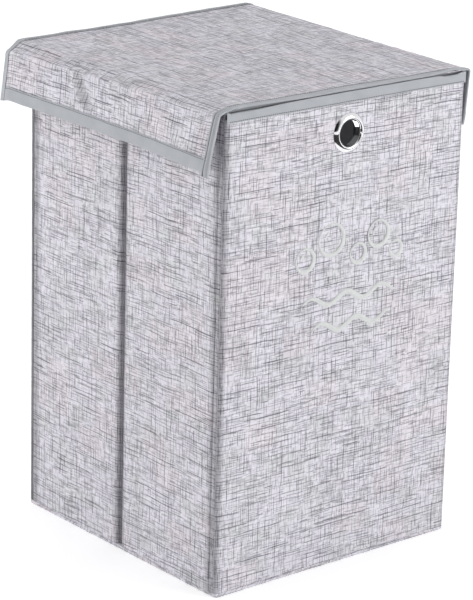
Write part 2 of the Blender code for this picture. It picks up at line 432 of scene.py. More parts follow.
class Wire:
    """A socket in a material, whose arithmetic adds Math nodes."""

    def __init__(self, graph: Nodes, socket: bpy.types.NodeSocket) -> None:
        """Wraps a socket of a graph."""
        self.graph = graph
        self.socket = socket

    def math(self, operation: str, *values: Wire | float) -> Wire:
        """One Math node with this wire first."""
        inputs = dict(enumerate((self, *values)))
        return self.graph.out("ShaderNodeMath", {"operation": operation}, inputs)

    def __add__(self, other: Wire | float) -> Wire:
        """The sum."""
        return self.math("ADD", other)

    def __sub__(self, other: Wire | float) -> Wire:
        """The difference."""
        return self.math("SUBTRACT", other)

    def __mul__(self, other: Wire | float) -> Wire:
        """The product."""
        return self.math("MULTIPLY", other)

    def __truediv__(self, other: Wire | float) -> Wire:
        """The quotient."""
        return self.math("DIVIDE", other)

    def __rsub__(self, other: float) -> Wire:
        """The difference from a number."""
        return self.graph.out("ShaderNodeMath", {"operation": "SUBTRACT"}, {0: other, 1: self})

    __radd__ = __add__
    __rmul__ = __mul__

    def floor(self) -> Wire:
        """The whole part."""
        return self.math("FLOOR")

    def fraction(self) -> Wire:
        """The part after the point."""
        return self.math("FRACT")

    def size(self) -> Wire:
        """The value without its sign."""
        return self.math("ABSOLUTE")

    def below(self, limit: Wire | float) -> Wire:
        """1 where the value is under the limit, else 0."""
        return self.math("LESS_THAN", limit)

    def most(self, other: Wire | float) -> Wire:
        """The larger of the two."""
        return self.math("MAXIMUM", other)

    def step(self, low: float, high: float, first: float = 0.0, last: float = 1.0) -> Wire:
        """Goes smoothly from the first value at low to the last at high."""
        settings = {"interpolation_type": "SMOOTHSTEP"}
        inputs = {"Value": self, "From Min": low, "From Max": high, "To Min": first, "To Max": last}
        return self.graph.out("ShaderNodeMapRange", settings, inputs)


Value = Wire | float | tuple


class Nodes:
    """The nodes of a material or of the sky."""

    def __init__(self, tree: bpy.types.NodeTree) -> None:
        """Wraps a node tree."""
        self.tree = tree

    def node(self, kind: str, settings: dict, inputs: dict[int | str, Value]) -> bpy.types.Node:
        """Adds one node.

        Args:
            kind: the node's type.
            settings: its own properties, set first.
            inputs: a value or a link for each named or numbered socket.

        Returns:
            The node.
        """
        node = self.tree.nodes.new(kind)
        for name, value in settings.items():
            setattr(node, name, value)
        for key, value in inputs.items():
            self.feed(node.inputs[key], value)
        return node

    def feed(self, socket: bpy.types.NodeSocket, value: Value) -> None:
        """Sets a socket to a value, or links it."""
        if isinstance(value, Wire):
            self.tree.links.new(value.socket, socket)
        else:
            socket.default_value = value

    def out(
        self, kind: str, settings: dict, inputs: dict[int | str, Value], name: int | str = 0
    ) -> Wire:
        """Adds one node and gives one of its outputs."""
        return Wire(self, self.node(kind, settings, inputs).outputs[name])


class Graph(Nodes):
    """A new material's nodes."""

    def __init__(self, name: str) -> None:
        """Makes the material, with its Principled shader and output."""
        self.material = bpy.data.materials.new(name)
        self.material.use_nodes = True
        super().__init__(self.material.node_tree)
        self.tree.nodes.clear()
        self.shader = self.node("ShaderNodeBsdfPrincipled", {}, {})
        output = self.node("ShaderNodeOutputMaterial", {}, {})
        self.tree.links.new(self.shader.outputs[0], output.inputs["Surface"])

    def set(self, **values: Value) -> None:
        """Sets or links the shader's sockets, named with _ for each space."""
        for name, value in values.items():
            self.feed(self.shader.inputs[name.replace("_", " ")], value)

    def cloth(self) -> tuple[Wire, Wire]:
        """The piece's own map, in metres, as its two parts."""
        place = self.node("ShaderNodeUVMap", {"uv_map": CLOTH_UV}, {})
        parts = self.node("ShaderNodeSeparateXYZ", {}, {0: Wire(self, place.outputs[0])})
        return Wire(self, parts.outputs[0]), Wire(self, parts.outputs[1])

    def space(self) -> Wire:
        """The point on the object, in metres."""
        return self.out("ShaderNodeTexCoord", {}, {}, "Object")

    def vector(self, x: Value, y: Value, z: Value = 0.0) -> Wire:
        """Three numbers as one vector."""
        return self.out("ShaderNodeCombineXYZ", {}, {0: x, 1: y, 2: z})

    def noise(self, place: Wire, scale: float, detail: float = 2.0, rough: float = 0.5) -> Wire:
        """Soft noise from 0 to 1, with so many features per metre."""
        inputs = {"Vector": place, "Scale": scale, "Detail": detail, "Roughness": rough}
        return self.out("ShaderNodeTexNoise", {}, inputs)

    def dice(self, x: Value, y: Value, seed: float) -> tuple[Wire, Wire, Wire, Wire]:
        """Four even random numbers that depend on three."""
        node = self.node("ShaderNodeTexWhiteNoise", {}, {"Vector": self.vector(x, y, seed)})
        parts = self.node("ShaderNodeSeparateColor", {}, {0: Wire(self, node.outputs["Color"])})
        three = [Wire(self, parts.outputs[index]) for index in range(3)]
        return three[0], three[1], three[2], Wire(self, node.outputs["Value"])

    def mix(self, share: Value, first: Value, second: Value, blend: str = "MIX") -> Wire:
        """Two colours mixed, from the first at 0 to the second at 1."""
        settings = {"data_type": "RGBA", "blend_type": blend}
        node = self.node("ShaderNodeMix", settings, {0: share, 6: first, 7: second})
        return Wire(self, node.outputs[2])

    def toned(self, colour: Value, level: float, tone: Wire) -> Wire:
        """A colour times a grey, which is the level less the tone."""
        grey = level - tone
        return self.mix(1.0, colour, self.vector(grey, grey, grey), "MULTIPLY")

    def seamed(self, colour: Wire, shadow: Colour) -> Wire:
        """A colour mixed towards the shadow colour by the piece's painted shade attribute."""
        painted_shade = self.out("ShaderNodeAttribute", {"attribute_name": SEAM_SHADE}, {}, "Fac")
        return self.mix(painted_shade, colour, shadow)

    def bump(self, height: Wire, distance: float, strength: float = 1.0) -> Wire:
        """A normal tilted by a height from 0 to 1 over a distance in metres."""
        inputs = {"Height": height, "Distance": distance, "Strength": strength}
        return self.out("ShaderNodeBump", {}, inputs)


Colour = tuple[float, float, float, float]


def screen(red: int, green: int, blue: int) -> Colour:
    """A colour given as a screen shows it, out of 255, as the light it stands for."""
    parts = [part / 255 for part in (red, green, blue)]
    light = [p / 12.92 if p <= 0.04045 else ((p + 0.055) / 1.055) ** 2.4 for p in parts]
    return (*light, 1.0)


@dataclass(frozen=True)
class Strokes:
    """One family of printed dashes, in rows a pitch apart, in metres on the cloth."""

    way: Way
    pitch: float
    length: float
    half: float
    share: float
    ink: float
    seed: float


@dataclass(frozen=True)
class PrintedCloth:
    """Pale non-woven cloth printed with crossing pencil-like dashes."""

    ground: Colour = screen(220, 217, 226)
    cool: Colour = screen(210, 211, 214)
    warm: Colour = screen(222, 214, 220)
    ink: Colour = screen(74, 74, 82)
    light: Colour = screen(240, 239, 243)
    shadow: Colour = screen(58, 58, 64)
    dark_strokes: tuple[Strokes, ...] = (
        Strokes(Way.ALONG, 3.4 * MM, 56 * MM, 0.40 * MM, 0.74, 0.70, 1.0),
        Strokes(Way.ALONG, 6.6 * MM, 98 * MM, 0.44 * MM, 0.76, 0.90, 2.0),
        Strokes(Way.ALONG, 2.3 * MM, 22 * MM, 0.34 * MM, 0.68, 0.60, 3.0),
        Strokes(Way.ALONG, 4.9 * MM, 33 * MM, 0.85 * MM, 0.50, 0.30, 9.0),
        Strokes(Way.UPRIGHT, 3.3 * MM, 27 * MM, 0.40 * MM, 0.68, 0.62, 4.0),
        Strokes(Way.UPRIGHT, 2.3 * MM, 17 * MM, 0.34 * MM, 0.66, 0.52, 5.0),
        Strokes(Way.UPRIGHT, 8.3 * MM, 58 * MM, 0.44 * MM, 0.68, 0.80, 6.0),
        Strokes(Way.UPRIGHT, 5.3 * MM, 30 * MM, 0.95 * MM, 0.44, 0.26, 10.0),
    )
    light_strokes: tuple[Strokes, ...] = (
        Strokes(Way.ALONG, 3.4 * MM, 22 * MM, 0.50 * MM, 0.42, 0.60, 7.0),
        Strokes(Way.UPRIGHT, 4.1 * MM, 24 * MM, 0.50 * MM, 0.42, 0.55, 8.0),
    )

    def dashes(self, graph: Graph, cloth: tuple[Wire, Wire], crowd: Wire, kind: Strokes) -> Wire:
        """How much of one family's ink lies at each place.

        Each row is cut into cells, shifted at random. A cell may hold one dash, which starts, ends, lies and
        leans at random in it.

        Args:
            graph: the material's nodes.
            cloth: the place on the cloth, already bent a little.
            crowd: about 1, and more where dashes crowd together.
            kind: the family.

        Returns:
            The ink from 0 to 1.
        """
        run, rise = cloth if kind.way is Way.ALONG else cloth[::-1]
        row = (rise / kind.pitch).floor()
        shift = graph.dice(row, 0.5, kind.seed)[3]
        place = run / kind.length + shift * 7.31
        cell = place.floor()
        inside = place - cell
        chance, lie, start, end = graph.dice(row, cell, kind.seed + 20)
        lean = (lie * 9.7).fraction() * 0.028 - 0.014
        centre = lie * 0.6 + 0.2 + (inside - 0.5) * lean * (kind.length / kind.pitch)
        off = ((rise / kind.pitch).fraction() - centre).size() * kind.pitch
        line = 1 - off.step(kind.half * 0.4, kind.half * 1.7)
        first, last = start * 0.45, 1 - end * 0.45
        body = inside.step(first, first + 0.07) * (1 - inside.step(last - 0.07, last))
        fade = (chance * 31.7).fraction() * 0.6 + 0.4
        return line * body * chance.below(crowd * kind.share) * fade * kind.ink

    def layered(
        self, graph: Graph, cloth: tuple[Wire, Wire], crowd: Wire, kinds: tuple[Strokes, ...]
    ) -> Wire:
        """Several families over each other: what shows through is the product of what each lets through."""
        clear: Wire | float = 1.0
        for kind in kinds:
            clear = (1 - self.dashes(graph, cloth, crowd, kind)) * clear
        return 1 - clear

    def blocks(
        self, graph: Graph, cloth: tuple[Wire, Wire], size: tuple[float, float], seed: float
    ) -> Wire:
        """A random number for each block of a brick-like grid, in metres."""
        u, v = cloth
        row = (v / size[1]).floor()
        shift = graph.dice(row, 0.5, seed)[3]
        return graph.dice(row, (u / size[0] + shift * 5.3).floor(), seed + 0.5)[3]

    def material(self) -> bpy.types.Material:
        """The printed cloth's material."""
        graph = Graph("printed_cloth")
        u, v = graph.cloth()
        flat = graph.vector(u, v)
        slow = graph.vector(u * 0.25, v)
        tall = graph.vector(u, v * 0.25)
        rise = v + (graph.noise(graph.vector(u, 0.3), 14, 1) - 0.5) * (4.5 * MM)
        rise = rise + (graph.noise(flat, 90, 1) - 0.5) * (1.0 * MM)
        run = u + (graph.noise(graph.vector(0.7, v), 12, 1) - 0.5) * (3 * MM)
        run = run + (graph.noise(flat, 110, 1) - 0.5) * (0.8 * MM)
        bent = (run, rise)
        crowd = graph.noise(slow, 60, 2) * 0.9 + graph.noise(tall, 55, 1) * 0.7 + 0.22
        dark = self.layered(graph, bent, crowd, self.dark_strokes)
        bright = self.layered(graph, bent, crowd, self.light_strokes)
        patch = self.blocks(graph, bent, (24 * MM, 17 * MM), 11)
        broad = self.blocks(graph, bent, (47 * MM, 33 * MM), 12)
        grain = graph.noise(flat, 2600, 2)
        fibre = graph.noise(graph.vector(u * 0.35, v), 1500, 3)
        ground = graph.mix(((patch - 0.5) * 1.6).most(0.0), self.ground, self.cool)
        ground = graph.mix(broad.below(0.24) * 0.5, ground, self.warm)
        tone = (patch * 17.3).fraction() * 0.05 + (broad * 13.1).fraction() * 0.04
        tone = tone + graph.noise(flat, 22, 2) * 0.05 + grain * 0.05 + fibre * 0.04
        inked = graph.mix(dark, graph.toned(ground, 1.10, tone), self.ink)
        colour = graph.mix(bright * (1 - dark), inked, self.light)
        relief = grain * 0.5 + fibre * 0.5 - dark * 0.15
        # The base colour carries painted shade where a piece has the shade attribute.
        graph.set(
            Base_Color=graph.seamed(colour, self.shadow),
            Roughness=0.86 - dark * 0.06,
            Normal=graph.bump(relief, 0.12 * MM, 0.7),
            Specular_IOR_Level=0.2,
        )
        return graph.material


@dataclass(frozen=True)
class NonWoven:
    """Plain non-woven cloth, its sheets spot-welded in staggered rows of small dents."""

    name: str
    colour: Colour
    dent_pitch: float
    dent_radius: float
    dent_depth: float
    roughness: float = 0.82
    shadow: Colour = screen(58, 62, 66)

    def material(self) -> bpy.types.Material:
        """The cloth's material.

        A dent lies at each centre of a grid turned 45 degrees, where both shares of a cell are near a half.
        """
        graph = Graph(self.name)
        u, v = graph.cloth()
        flat = graph.vector(u, v)
        first = ((u + v) / self.dent_pitch).fraction() - 0.5
        second = ((u - v) / self.dent_pitch).fraction() - 0.5
        away = (first * first + second * second).math("SQRT") * self.dent_pitch
        dent = 1 - away.step(self.dent_radius * 0.5, self.dent_radius * 1.3)
        fibre = graph.noise(flat, 1900, 3)
        cloud = graph.noise(flat, 45, 3)
        tone = dent * 0.34 + fibre * 0.20 + cloud * 0.26
        # The base colour carries painted shade where a piece has the shade attribute.
        graph.set(
            Base_Color=graph.seamed(graph.toned(self.colour, 1.16, tone), self.shadow),
            Roughness=self.roughness - dent * 0.25,
            Normal=graph.bump(fibre * 0.3 - dent, self.dent_depth, 0.8),
            Sheen_Weight=0.2,
            Sheen_Roughness=0.5,
        )
        return graph.material


@dataclass(frozen=True)
class Chrome:
    """Bright plated steel with faint handling marks."""

    colour: Colour = (0.86, 0.86, 0.88, 1.0)
    roughness: float = 0.07

    def material(self) -> bpy.types.Material:
        """The plating's material."""
        graph = Graph("chrome")
        place = graph.space()
        haze = graph.noise(place, 160, 4, 0.6)
        marks = graph.noise(place, 900, 2)
        roughness = haze.step(0.45, 0.8) * 0.10 + self.roughness
        tone = marks * 0.05 + haze * 0.05
        graph.set(
            Base_Color=graph.toned(self.colour, 1.05, tone),
            Roughness=roughness,
            Metallic=1.0,
            Normal=graph.bump(marks, 0.01 * MM, 0.3),
        )
        return graph.material


@dataclass(frozen=True)
class Cardboard:
    """Grey-brown board with short fibres and darker specks."""

    colour: Colour = screen(176, 160, 138)
    fleck: Colour = screen(120, 104, 86)

    def material(self) -> bpy.types.Material:
        """The board's material."""
        graph = Graph("cardboard")
        place = graph.space()
        cloud = graph.noise(place, 30, 3)
        fibre = graph.noise(place, 1200, 4, 0.7)
        speck = graph.noise(place, 420, 1).step(0.66, 0.74)
        tone = cloud * 0.16 + fibre * 0.16
        graph.set(
            Base_Color=graph.mix(speck * 0.5, graph.toned(self.colour, 1.15, tone), self.fleck),
            Roughness=0.92 - fibre * 0.06,
            Normal=graph.bump(fibre, 0.08 * MM, 0.6),
        )
        return graph.material


@dataclass(frozen=True)
class Thread:
    """Twisted sewing or embroidery thread, its strands showing as fine lines across the stroke."""

    name: str
    colour: Colour
    strand: float = 0.42 * MM

    def material(self) -> bpy.types.Material:
        """The thread's material."""
        graph = Graph(self.name)
        u, v = graph.cloth()
        slant = u + v * 0.35
        line = (slant / self.strand).fraction() - 0.5
        ridge = 1 - line.size() * 2
        cloud = graph.noise(graph.vector(u, v), 260, 2)
        # The tone darkens the grooves between strands: painted shade, on top of the bump.
        tone = (1 - ridge) * 0.22 + cloud * 0.10
        graph.set(
            Base_Color=graph.toned(self.colour, 1.08, tone),
            Roughness=0.42 + cloud * 0.15,
            Normal=graph.bump(ridge, 0.15 * MM, 0.8),
            Sheen_Weight=0.3,
            Sheen_Roughness=0.35,
        )
        return graph.material


@dataclass(frozen=True)
class PaleFloor:
    """Plain matt paper or cloth for the studio's floor."""

    name: str = "pale_floor"
    colour: Colour = (0.92, 0.92, 0.92, 1.0)
    glow: float = 0.0

    def material(self) -> bpy.types.Material:
        """The floor's material."""
        graph = Graph(self.name)
        cloud = graph.noise(graph.space(), 1.5, 2)
        graph.set(
            Base_Color=graph.toned(self.colour, 1.0, cloud * 0.01),
            Roughness=0.9,
            Emission_Color=(1.0, 1.0, 1.0, 1.0),
            Emission_Strength=self.glow,
        )
        return graph.material


class Finishes:
    """One material for each finish, and the CAD pieces' finishes by slot."""

    def __init__(self) -> None:
        """Makes every material."""
        self.cloth = PrintedCloth().material()
        tape = NonWoven("binding_tape", screen(183, 186, 192), 2.3 * MM, 0.55 * MM, 0.3 * MM)
        lining = NonWoven("lining", screen(190, 191, 193), 2.6 * MM, 0.5 * MM, 0.2 * MM)
        self.tape = tape.material()
        self.lining = lining.material()
        self.board = Cardboard().material()
        self.chrome = Chrome().material()
        self.sewing = Thread("sewing_thread", screen(100, 107, 112)).material()
        self.satin = Thread("satin_thread", screen(226, 229, 228)).material()
        self.slots = {
            "printed_fabric": self.cloth,
            "tape": self.tape,
            "lining": self.lining,
            "board": self.board,
            "chrome": self.chrome,
        }

    def dress_nodes(self, frame: dict) -> None:
        """Gives each CAD node the material of its slot."""
        for subpart in frame["record"]["subparts"]:
            mesh = frame["nodes"][subpart["node"]].data
            mesh.materials.clear()
            mesh.materials.append(self.slots[subpart["material_slot"]])


# ---------------------------------------------------------------- the hamper


@dataclass(frozen=True)
class Layout:
    """The places that the pieces share, read from the CAD nodes."""

    half_width: float
    half_depth: float
    height: float
    wall: float
    foot: float
    wall_top: float
    tape_foot: float
    eyelet_height: float
    flap_face: float
    lid_front: float
    lid_back: float
    flap_bottom: float

    @staticmethod
    def read() -> Layout:
        """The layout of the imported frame."""
        cover_low, cover_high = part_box("front_outer_fabric")
        ring_low, ring_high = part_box("front_eyelet_ring")
        flap_low, flap_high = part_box("right_flap_tape")
        return Layout(
            half_width=cover_high.x,
            half_depth=-cover_low.y,
            height=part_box("lid_top_fabric")[1].z,
            wall=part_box("front_lining")[1].y - cover_low.y,
            foot=cover_low.z,
            wall_top=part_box("front_top_tape")[1].z,
            tape_foot=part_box("front_top_tape")[0].z,
            eyelet_height=(ring_low.z + ring_high.z) / 2,
            flap_face=flap_high.x,
            lid_front=flap_low.y,
            lid_back=flap_high.y,
            flap_bottom=flap_low.z,
        )


@dataclass(frozen=True)
class Run:
    """A straight stretch of wall, walked with the outside on the right hand."""

    name: str
    body: str
    start: tuple[float, float]
    heading: tuple[float, float]
    length: float
    cloth_start: float

    def at(self, along: np.ndarray, inward: np.ndarray, height: np.ndarray) -> np.ndarray:
        """Points this far along the wall, in from its outer face and above the floor."""
        way = np.array([*self.heading, 0.0])
        inside = np.array([-self.heading[1], self.heading[0], 0.0])
        base = np.array([*self.start, 0.0])
        return base + along[..., None] * way + inward[..., None] * inside + height[..., None] * UP

    @property
    def outward(self) -> np.ndarray:
        """The way out of the wall."""
        return np.array([self.heading[1], -self.heading[0], 0.0])


def wall_runs(layout: Layout) -> dict[str, Run]:
    """The six stretches of wall, in the order that the cloth goes round them."""
    wide, deep = layout.half_width, layout.half_depth
    plan = (
        ("front", "front_wall", (-wide, -deep), (1, 0), 2 * wide),
        ("right_front", "right_front_half", None, (0, 1), None),
        ("right_rear", "right_rear_half", None, (0, 1), None),
        ("back", "back_wall", (wide, deep), (-1, 0), 2 * wide),
        ("left_rear", "left_rear_half", None, (0, -1), None),
        ("left_front", "left_front_half", None, (0, -1), None),
    )
    runs, travelled = {}, 0.0
    for name, body, start, heading, length in plan:
        if start is None:
            low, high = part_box(name + "_outer_fabric")
            first = low if heading[1] > 0 else high
            start = (math.copysign(wide, low.x), first.y)
            length = high.y - low.y
            travelled += STRIP
        runs[name] = Run(name, body, start, heading, length, travelled)
        travelled += length
    return runs


def card(
    name: str, node: str, body: str, inset: tuple[float, float, float], finishes: Finishes
) -> bpy.types.Object:
    """A board cut a little short of its CAD node, with eased edges, so that the cloth can round its ends.

    Args:
        name: the piece's name.
        node: the CAD node that it stands for.
        body: the body that carries it.
        inset: how much shorter it is at both ends, along each axis.
        finishes: the hamper's materials.

    Returns:
        The board.
    """
    low, high = (np.array(corner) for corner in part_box(node))
    low, high = low + np.array(inset), high - np.array(inset)
    corners = np.array([(x, y, z) for x in (0, 1) for y in (0, 1) for z in (0, 1)])
    faces = [[0, 1, 3, 2], [4, 6, 7, 5], [0, 4, 5, 1], [2, 3, 7, 6], [0, 2, 6, 4], [1, 5, 7, 3]]
    board = piece(name, low + corners * (high - low), faces, np.zeros((24, 2)))
    ease = board.modifiers.new("ease", "BEVEL")
    ease.width = 0.5 * MM
    ease.segments = 2
    dress(board, finishes.board, (node,), body)
    return board


@dataclass
class Walls:
    """The wall covers, their top tapes, the linings and the cloth between the walls."""

    layout: Layout
    runs: dict[str, Run]
    finishes: Finishes
    cloth: float = 0.7 * MM
    cell: float = 6.0 * MM
    broad_edge: tuple[float, float] = (8.5 * MM, 3.4 * MM)
    side_edge: tuple[float, float] = (3.0 * MM, 2.0 * MM)
    crease_edge: tuple[float, float] = (7.0 * MM, 3.4 * MM)
    board_inset: float = 7.5 * MM
    edge_shade: float = 0.5
    tape_proud: float = 0.5 * MM
    hole: float = 17.0 * MM

    def edges(self, run: Run) -> tuple[tuple[float, float], tuple[float, float]]:
        """How far a cover's two upright edges are rounded, along and inward."""
        if run.name in ("front", "back"):
            return self.broad_edge, self.broad_edge
        first_is_corner = run.name in ("right_front", "left_rear")
        pair = (self.side_edge, self.crease_edge)
        return pair if first_is_corner else pair[::-1]

    def cover_plan(self, run: Run) -> np.ndarray:
        """The cover's outline from above, as (along, inward): each end is turned in on an ellipse."""
        (a, b), (c, d) = self.edges(run)
        depth = self.layout.wall - 1.0 * MM
        turn = np.linspace(0, math.pi / 2, 9)
        first = np.stack([a * (1 - np.cos(turn)), b * (1 - np.sin(turn))], -1)
        last = np.stack([run.length - c * (1 - np.cos(turn)), d * (1 - np.sin(turn))], -1)[::-1]
        middle = np.linspace(a, run.length - c, max(3, round(run.length / self.cell)))[1:-1]
        face = np.stack([middle, np.zeros_like(middle)], -1)
        return np.concatenate([[[0.0, depth]], first, face, last, [[run.length, depth]]])

    def cover(self, run: Run) -> bpy.types.Object:
        """One wall's printed cover, drawn tight over its board with faint puckers."""
        plan = self.cover_plan(run)
        travel = lengths(plan)
        low, high = self.layout.foot, self.layout.tape_foot + 4 * MM
        rise = low + stations(high - low, self.cell, (1 * MM, 3 * MM))
        along, height = across(plan[:, 0], rise)
        inward = np.repeat(plan[:, 1:], len(rise), 1)
        seed = 10 + list(self.runs).index(run.name)
        broad = Ripple(0.28 * MM, 70 * MM, 190 * MM, seed).at(along, height)
        fine = Ripple(0.07 * MM, 14 * MM, 34 * MM, seed + 40).at(along, height)
        calm = smoothstep(0, 12 * MM, along) * smoothstep(0, 12 * MM, run.length - along)
        calm = calm * smoothstep(0, 15 * MM, height - low)
        bulge = (broad + fine + self.wrinkles(run, along, height)) * calm
        face = run.at(along, inward - bulge, height)
        cloth = np.stack(across(run.cloth_start + travel, rise), -1)
        cover = shell(run.name + "_cover", face, cloth, self.cloth)
        near = np.minimum(along, run.length - along)
        # Painted shade: the cover darkens within about 10 mm of its upright edges.
        shade_seam(cover, self.edge_shade * (1 - smoothstep(-2 * MM, 10 * MM, near)))
        if run.name in ("front", "back"):
            punch(cover, self.eyelet_centre(run), self.hole)
        dress(cover, self.finishes.cloth, (run.name + "_outer_fabric",), run.body)
        return cover

    def board(self, run: Run) -> bpy.types.Object:
        """The board inside one wall."""
        inset = tuple(abs(part) * self.board_inset for part in (*run.heading, 0.0))
        board = card(run.name + "_card", run.name + "_board", run.body, inset, self.finishes)
        if run.name in ("front", "back"):
            punch(board, self.eyelet_centre(run), self.hole)
        return board

    def wrinkles(self, run: Run, along: np.ndarray, height: np.ndarray) -> np.ndarray:
        """The creases that one wall's cover holds, in metres outwards."""
        if run.name not in ("left_front", "right_rear"):
            return np.zeros_like(along)
        top = self.layout.flap_bottom + 6 * MM
        tucks = (
            Crease((2 * MM, top + 4 * MM), (20 * MM, top - 24 * MM), 3.0 * MM, 1.1 * MM),
            Crease((1 * MM, top - 30 * MM), (9 * MM, top - 130 * MM), 4.0 * MM, 0.5 * MM),
        )
        return sum(tuck.at(along, height) for tuck in tucks)

    def eyelet_centre(self, run: Run) -> np.ndarray:
        """The middle of a broad wall's eyelet, on the wall's outer face."""
        return np.array([0.0, run.start[1], self.layout.eyelet_height])

    def rim_path(self, run: Run) -> np.ndarray:
        """A top tape's cross-section as (inward, height), from its outer lower edge over the rim."""
        top, foot = self.layout.wall_top, self.layout.tape_foot
        out, wall = -self.tape_proud, self.layout.wall + 0.5 * MM
        if run.name == "front":
            lip = self.layout.height - 2.3 * MM
            corners = [
                (out, foot), (out, lip), (0.7 * MM, lip), (0.7 * MM, top + 0.2 * MM),
                (wall, top + 0.2 * MM), (wall, foot),
            ]
            return rounded(corners, [0.5 * MM, 0.5 * MM, 0.3 * MM, 1.2 * MM], 1.5 * MM)
        corners = [(out, foot), (out, top + 0.2 * MM), (wall, top + 0.2 * MM), (wall, foot)]
        return rounded(corners, [1.6 * MM, 1.6 * MM], 1.5 * MM)

    def top_tape(self, run: Run) -> bpy.types.Object:
        """One wall's binding tape, folded over the rim, with a line of sewing near its lower edge."""
        path = self.rim_path(run)
        travel = lengths(path)
        inset = 0.3 * MM
        places = inset + stations(run.length - 2 * inset, self.cell, (1 * MM, 3 * MM))
        along, width = across(places, travel)
        seed = 60 + list(self.runs).index(run.name)
        slack = Ripple(0.16 * MM, 18 * MM, 60 * MM, seed).at(along, width)
        inward = path[None, :, 0] - np.abs(slack) * (path[None, :, 0] < 0.1 * MM)
        height = path[None, :, 1] + Ripple(0.18 * MM, 25 * MM, 80 * MM, seed + 20).at(along, width * 0)
        nodes = (run.name + "_top_tape",)
        if run.name == "front":
            lip = path[:, 1] > self.layout.wall_top + 1 * MM
            height = height - self.sag(along, run.length) * lip
            nodes += ("lid_hinge_strip",)
        face = run.at(along, inward, height)
        tape = shell(run.name + "_rim_tape", face, np.stack([along, width], -1), TAPE)
        dress(tape, self.finishes.tape, nodes, run.body)
        self.sewing(run, places[2:-2], inward[2:-2, 1], height[2:-2, 0] + 1.6 * MM)
        return tape

    def sag(self, along: np.ndarray, length: float) -> np.ndarray:
        """How far the front tape's lip droops from the lid, over its first third and near its other end."""
        left = smoothstep(0, 6 * MM, along) * (1 - smoothstep(20 * MM, 120 * MM, along))
        gap = length - along
        right = smoothstep(4 * MM, 22 * MM, gap) * (1 - smoothstep(26 * MM, 48 * MM, gap))
        return 1.9 * MM * left + 2.1 * MM * right

    def sewing(self, run: Run, along: np.ndarray, inward: np.ndarray, height: np.ndarray) -> None:
        """A row of stitches on the outside of a top tape."""
        seam = run.at(along, inward - 0.05 * MM, height)
        out = np.repeat(run.outward[None], len(seam), 0)
        row = stitches(run.name + "_rim_stitching", seam, out)
        dress(row, self.finishes.sewing, body=run.body)

    def lining(self, run: Run) -> bpy.types.Object:
        """The plain cloth on the inside of one wall, a little slack."""
        low, high = self.layout.foot, self.layout.tape_foot + 2 * MM
        places = stations(run.length - 0.6 * MM, 9 * MM)[::-1] + 0.3 * MM
        rise = low + stations(high - low, 9 * MM)
        along, height = across(places, rise)
        seed = 80 + list(self.runs).index(run.name)
        slack = Ripple(0.25 * MM, 40 * MM, 120 * MM, seed).at(along, height)
        face = run.at(along, self.layout.wall + np.clip(slack, -0.1 * MM, 0.5 * MM), height)
        lining = shell(run.name + "_inside", face, np.stack([along, height], -1), LINING)
        if run.name in ("front", "back"):
            punch(lining, self.eyelet_centre(run), self.hole)
        dress(lining, self.finishes.lining, (run.name + "_lining",), run.body)
        return lining

    def gutter(
        self,
        name: str,
        plan: np.ndarray,
        shade: np.ndarray,
        node: str,
        bodies: tuple[str, ...],
        cloth_start: float,
    ) -> bpy.types.Object:
        """A strip of cover cloth let in between two walls.

        Args:
            name: the piece's name.
            plan: its outline from above, walked with the outside on the right hand.
            shade: how much painted shade it carries at each point of the plan.
            node: the CAD node that it stands for.
            bodies: the body or the two bodies on either side of it, in the order of the plan; it hangs on a
                body only where there is one.
            cloth_start: where on the cloth the strip starts.

        Returns:
            The strip.
        """
        rise = self.layout.foot + stations(self.layout.wall_top - self.layout.foot, 8 * MM)
        face = np.empty((len(plan), len(rise), 3))
        face[..., :2] = plan[:, None]
        face[..., 2] = rise
        travel, height = across(cloth_start + lengths(plan), rise)
        strip = shell(name, face, np.stack([travel, height], -1), LINING)
        shade_seam(strip, np.repeat(shade[:, None], len(rise), 1))
        only = bodies[0] if len(bodies) == 1 else None
        dress(strip, self.finishes.cloth, (node,), only)
        if only is None:
            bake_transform(strip)
        return strip

    def creases(self) -> None:
        """The gutters down the middle of both side walls."""
        for side in Side:
            first, second = ("front", "rear") if side is Side.RIGHT else ("rear", "front")
            ends = [self.runs[f"{side.word}_{half}"] for half in (first, second)]
            reach = abs(ends[1].start[1])
            wall = self.layout.wall
            half = np.array([0.15, 0.45, 0.75, 1.0, 1.2, 1.35])
            share = np.concatenate([-half[::-1], half])
            inward = np.where(np.abs(share) > 1.1, wall - 1.9 * MM, wall - 0.9 * MM)
            inward = inward + 0.3 * MM * (np.abs(share) < 0.5)
            heading = ends[0].heading[1]
            plan = np.stack([side.value * (self.layout.half_width - inward), heading * share * reach], -1)
            bodies = (ends[0].body, ends[1].body)
            start = ends[1].cloth_start - 9 * MM
            # Painted shade in the crease gutter, darkest in its middle.
            shade = 0.80 - 0.35 * smoothstep(0.3, 1.3, np.abs(share))
            self.gutter(f"{side.word}_crease_gutter", plan, shade, f"{side.word}_crease_web", bodies, start)

    def corners(self) -> None:
        """The recessed strips at the four upright corners, each with a raised seam beside the broad wall."""
        wide, deep = self.layout.half_width, self.layout.half_depth
        for side in Side:
            for end, broad in ((-1, "front"), (1, "back")):
                half = f"{side.word}_{'front' if end < 0 else 'rear'}"
                low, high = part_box(half + "_outer_fabric")
                edge = abs(low.y) if end < 0 else abs(high.y)
                turned = deep - self.layout.wall + 0.9 * MM
                depth = np.array([2.4, 1.5, 1.1, 0.9, 0.9, 1.1, 1.5, 2.1, 2.9, 3.4, 3.4]) * MM
                share = np.array([-0.12, -0.04, 0.06, 0.25, 0.5, 0.72, 0.80, 0.88, 0.95, 1.02, 1.12])
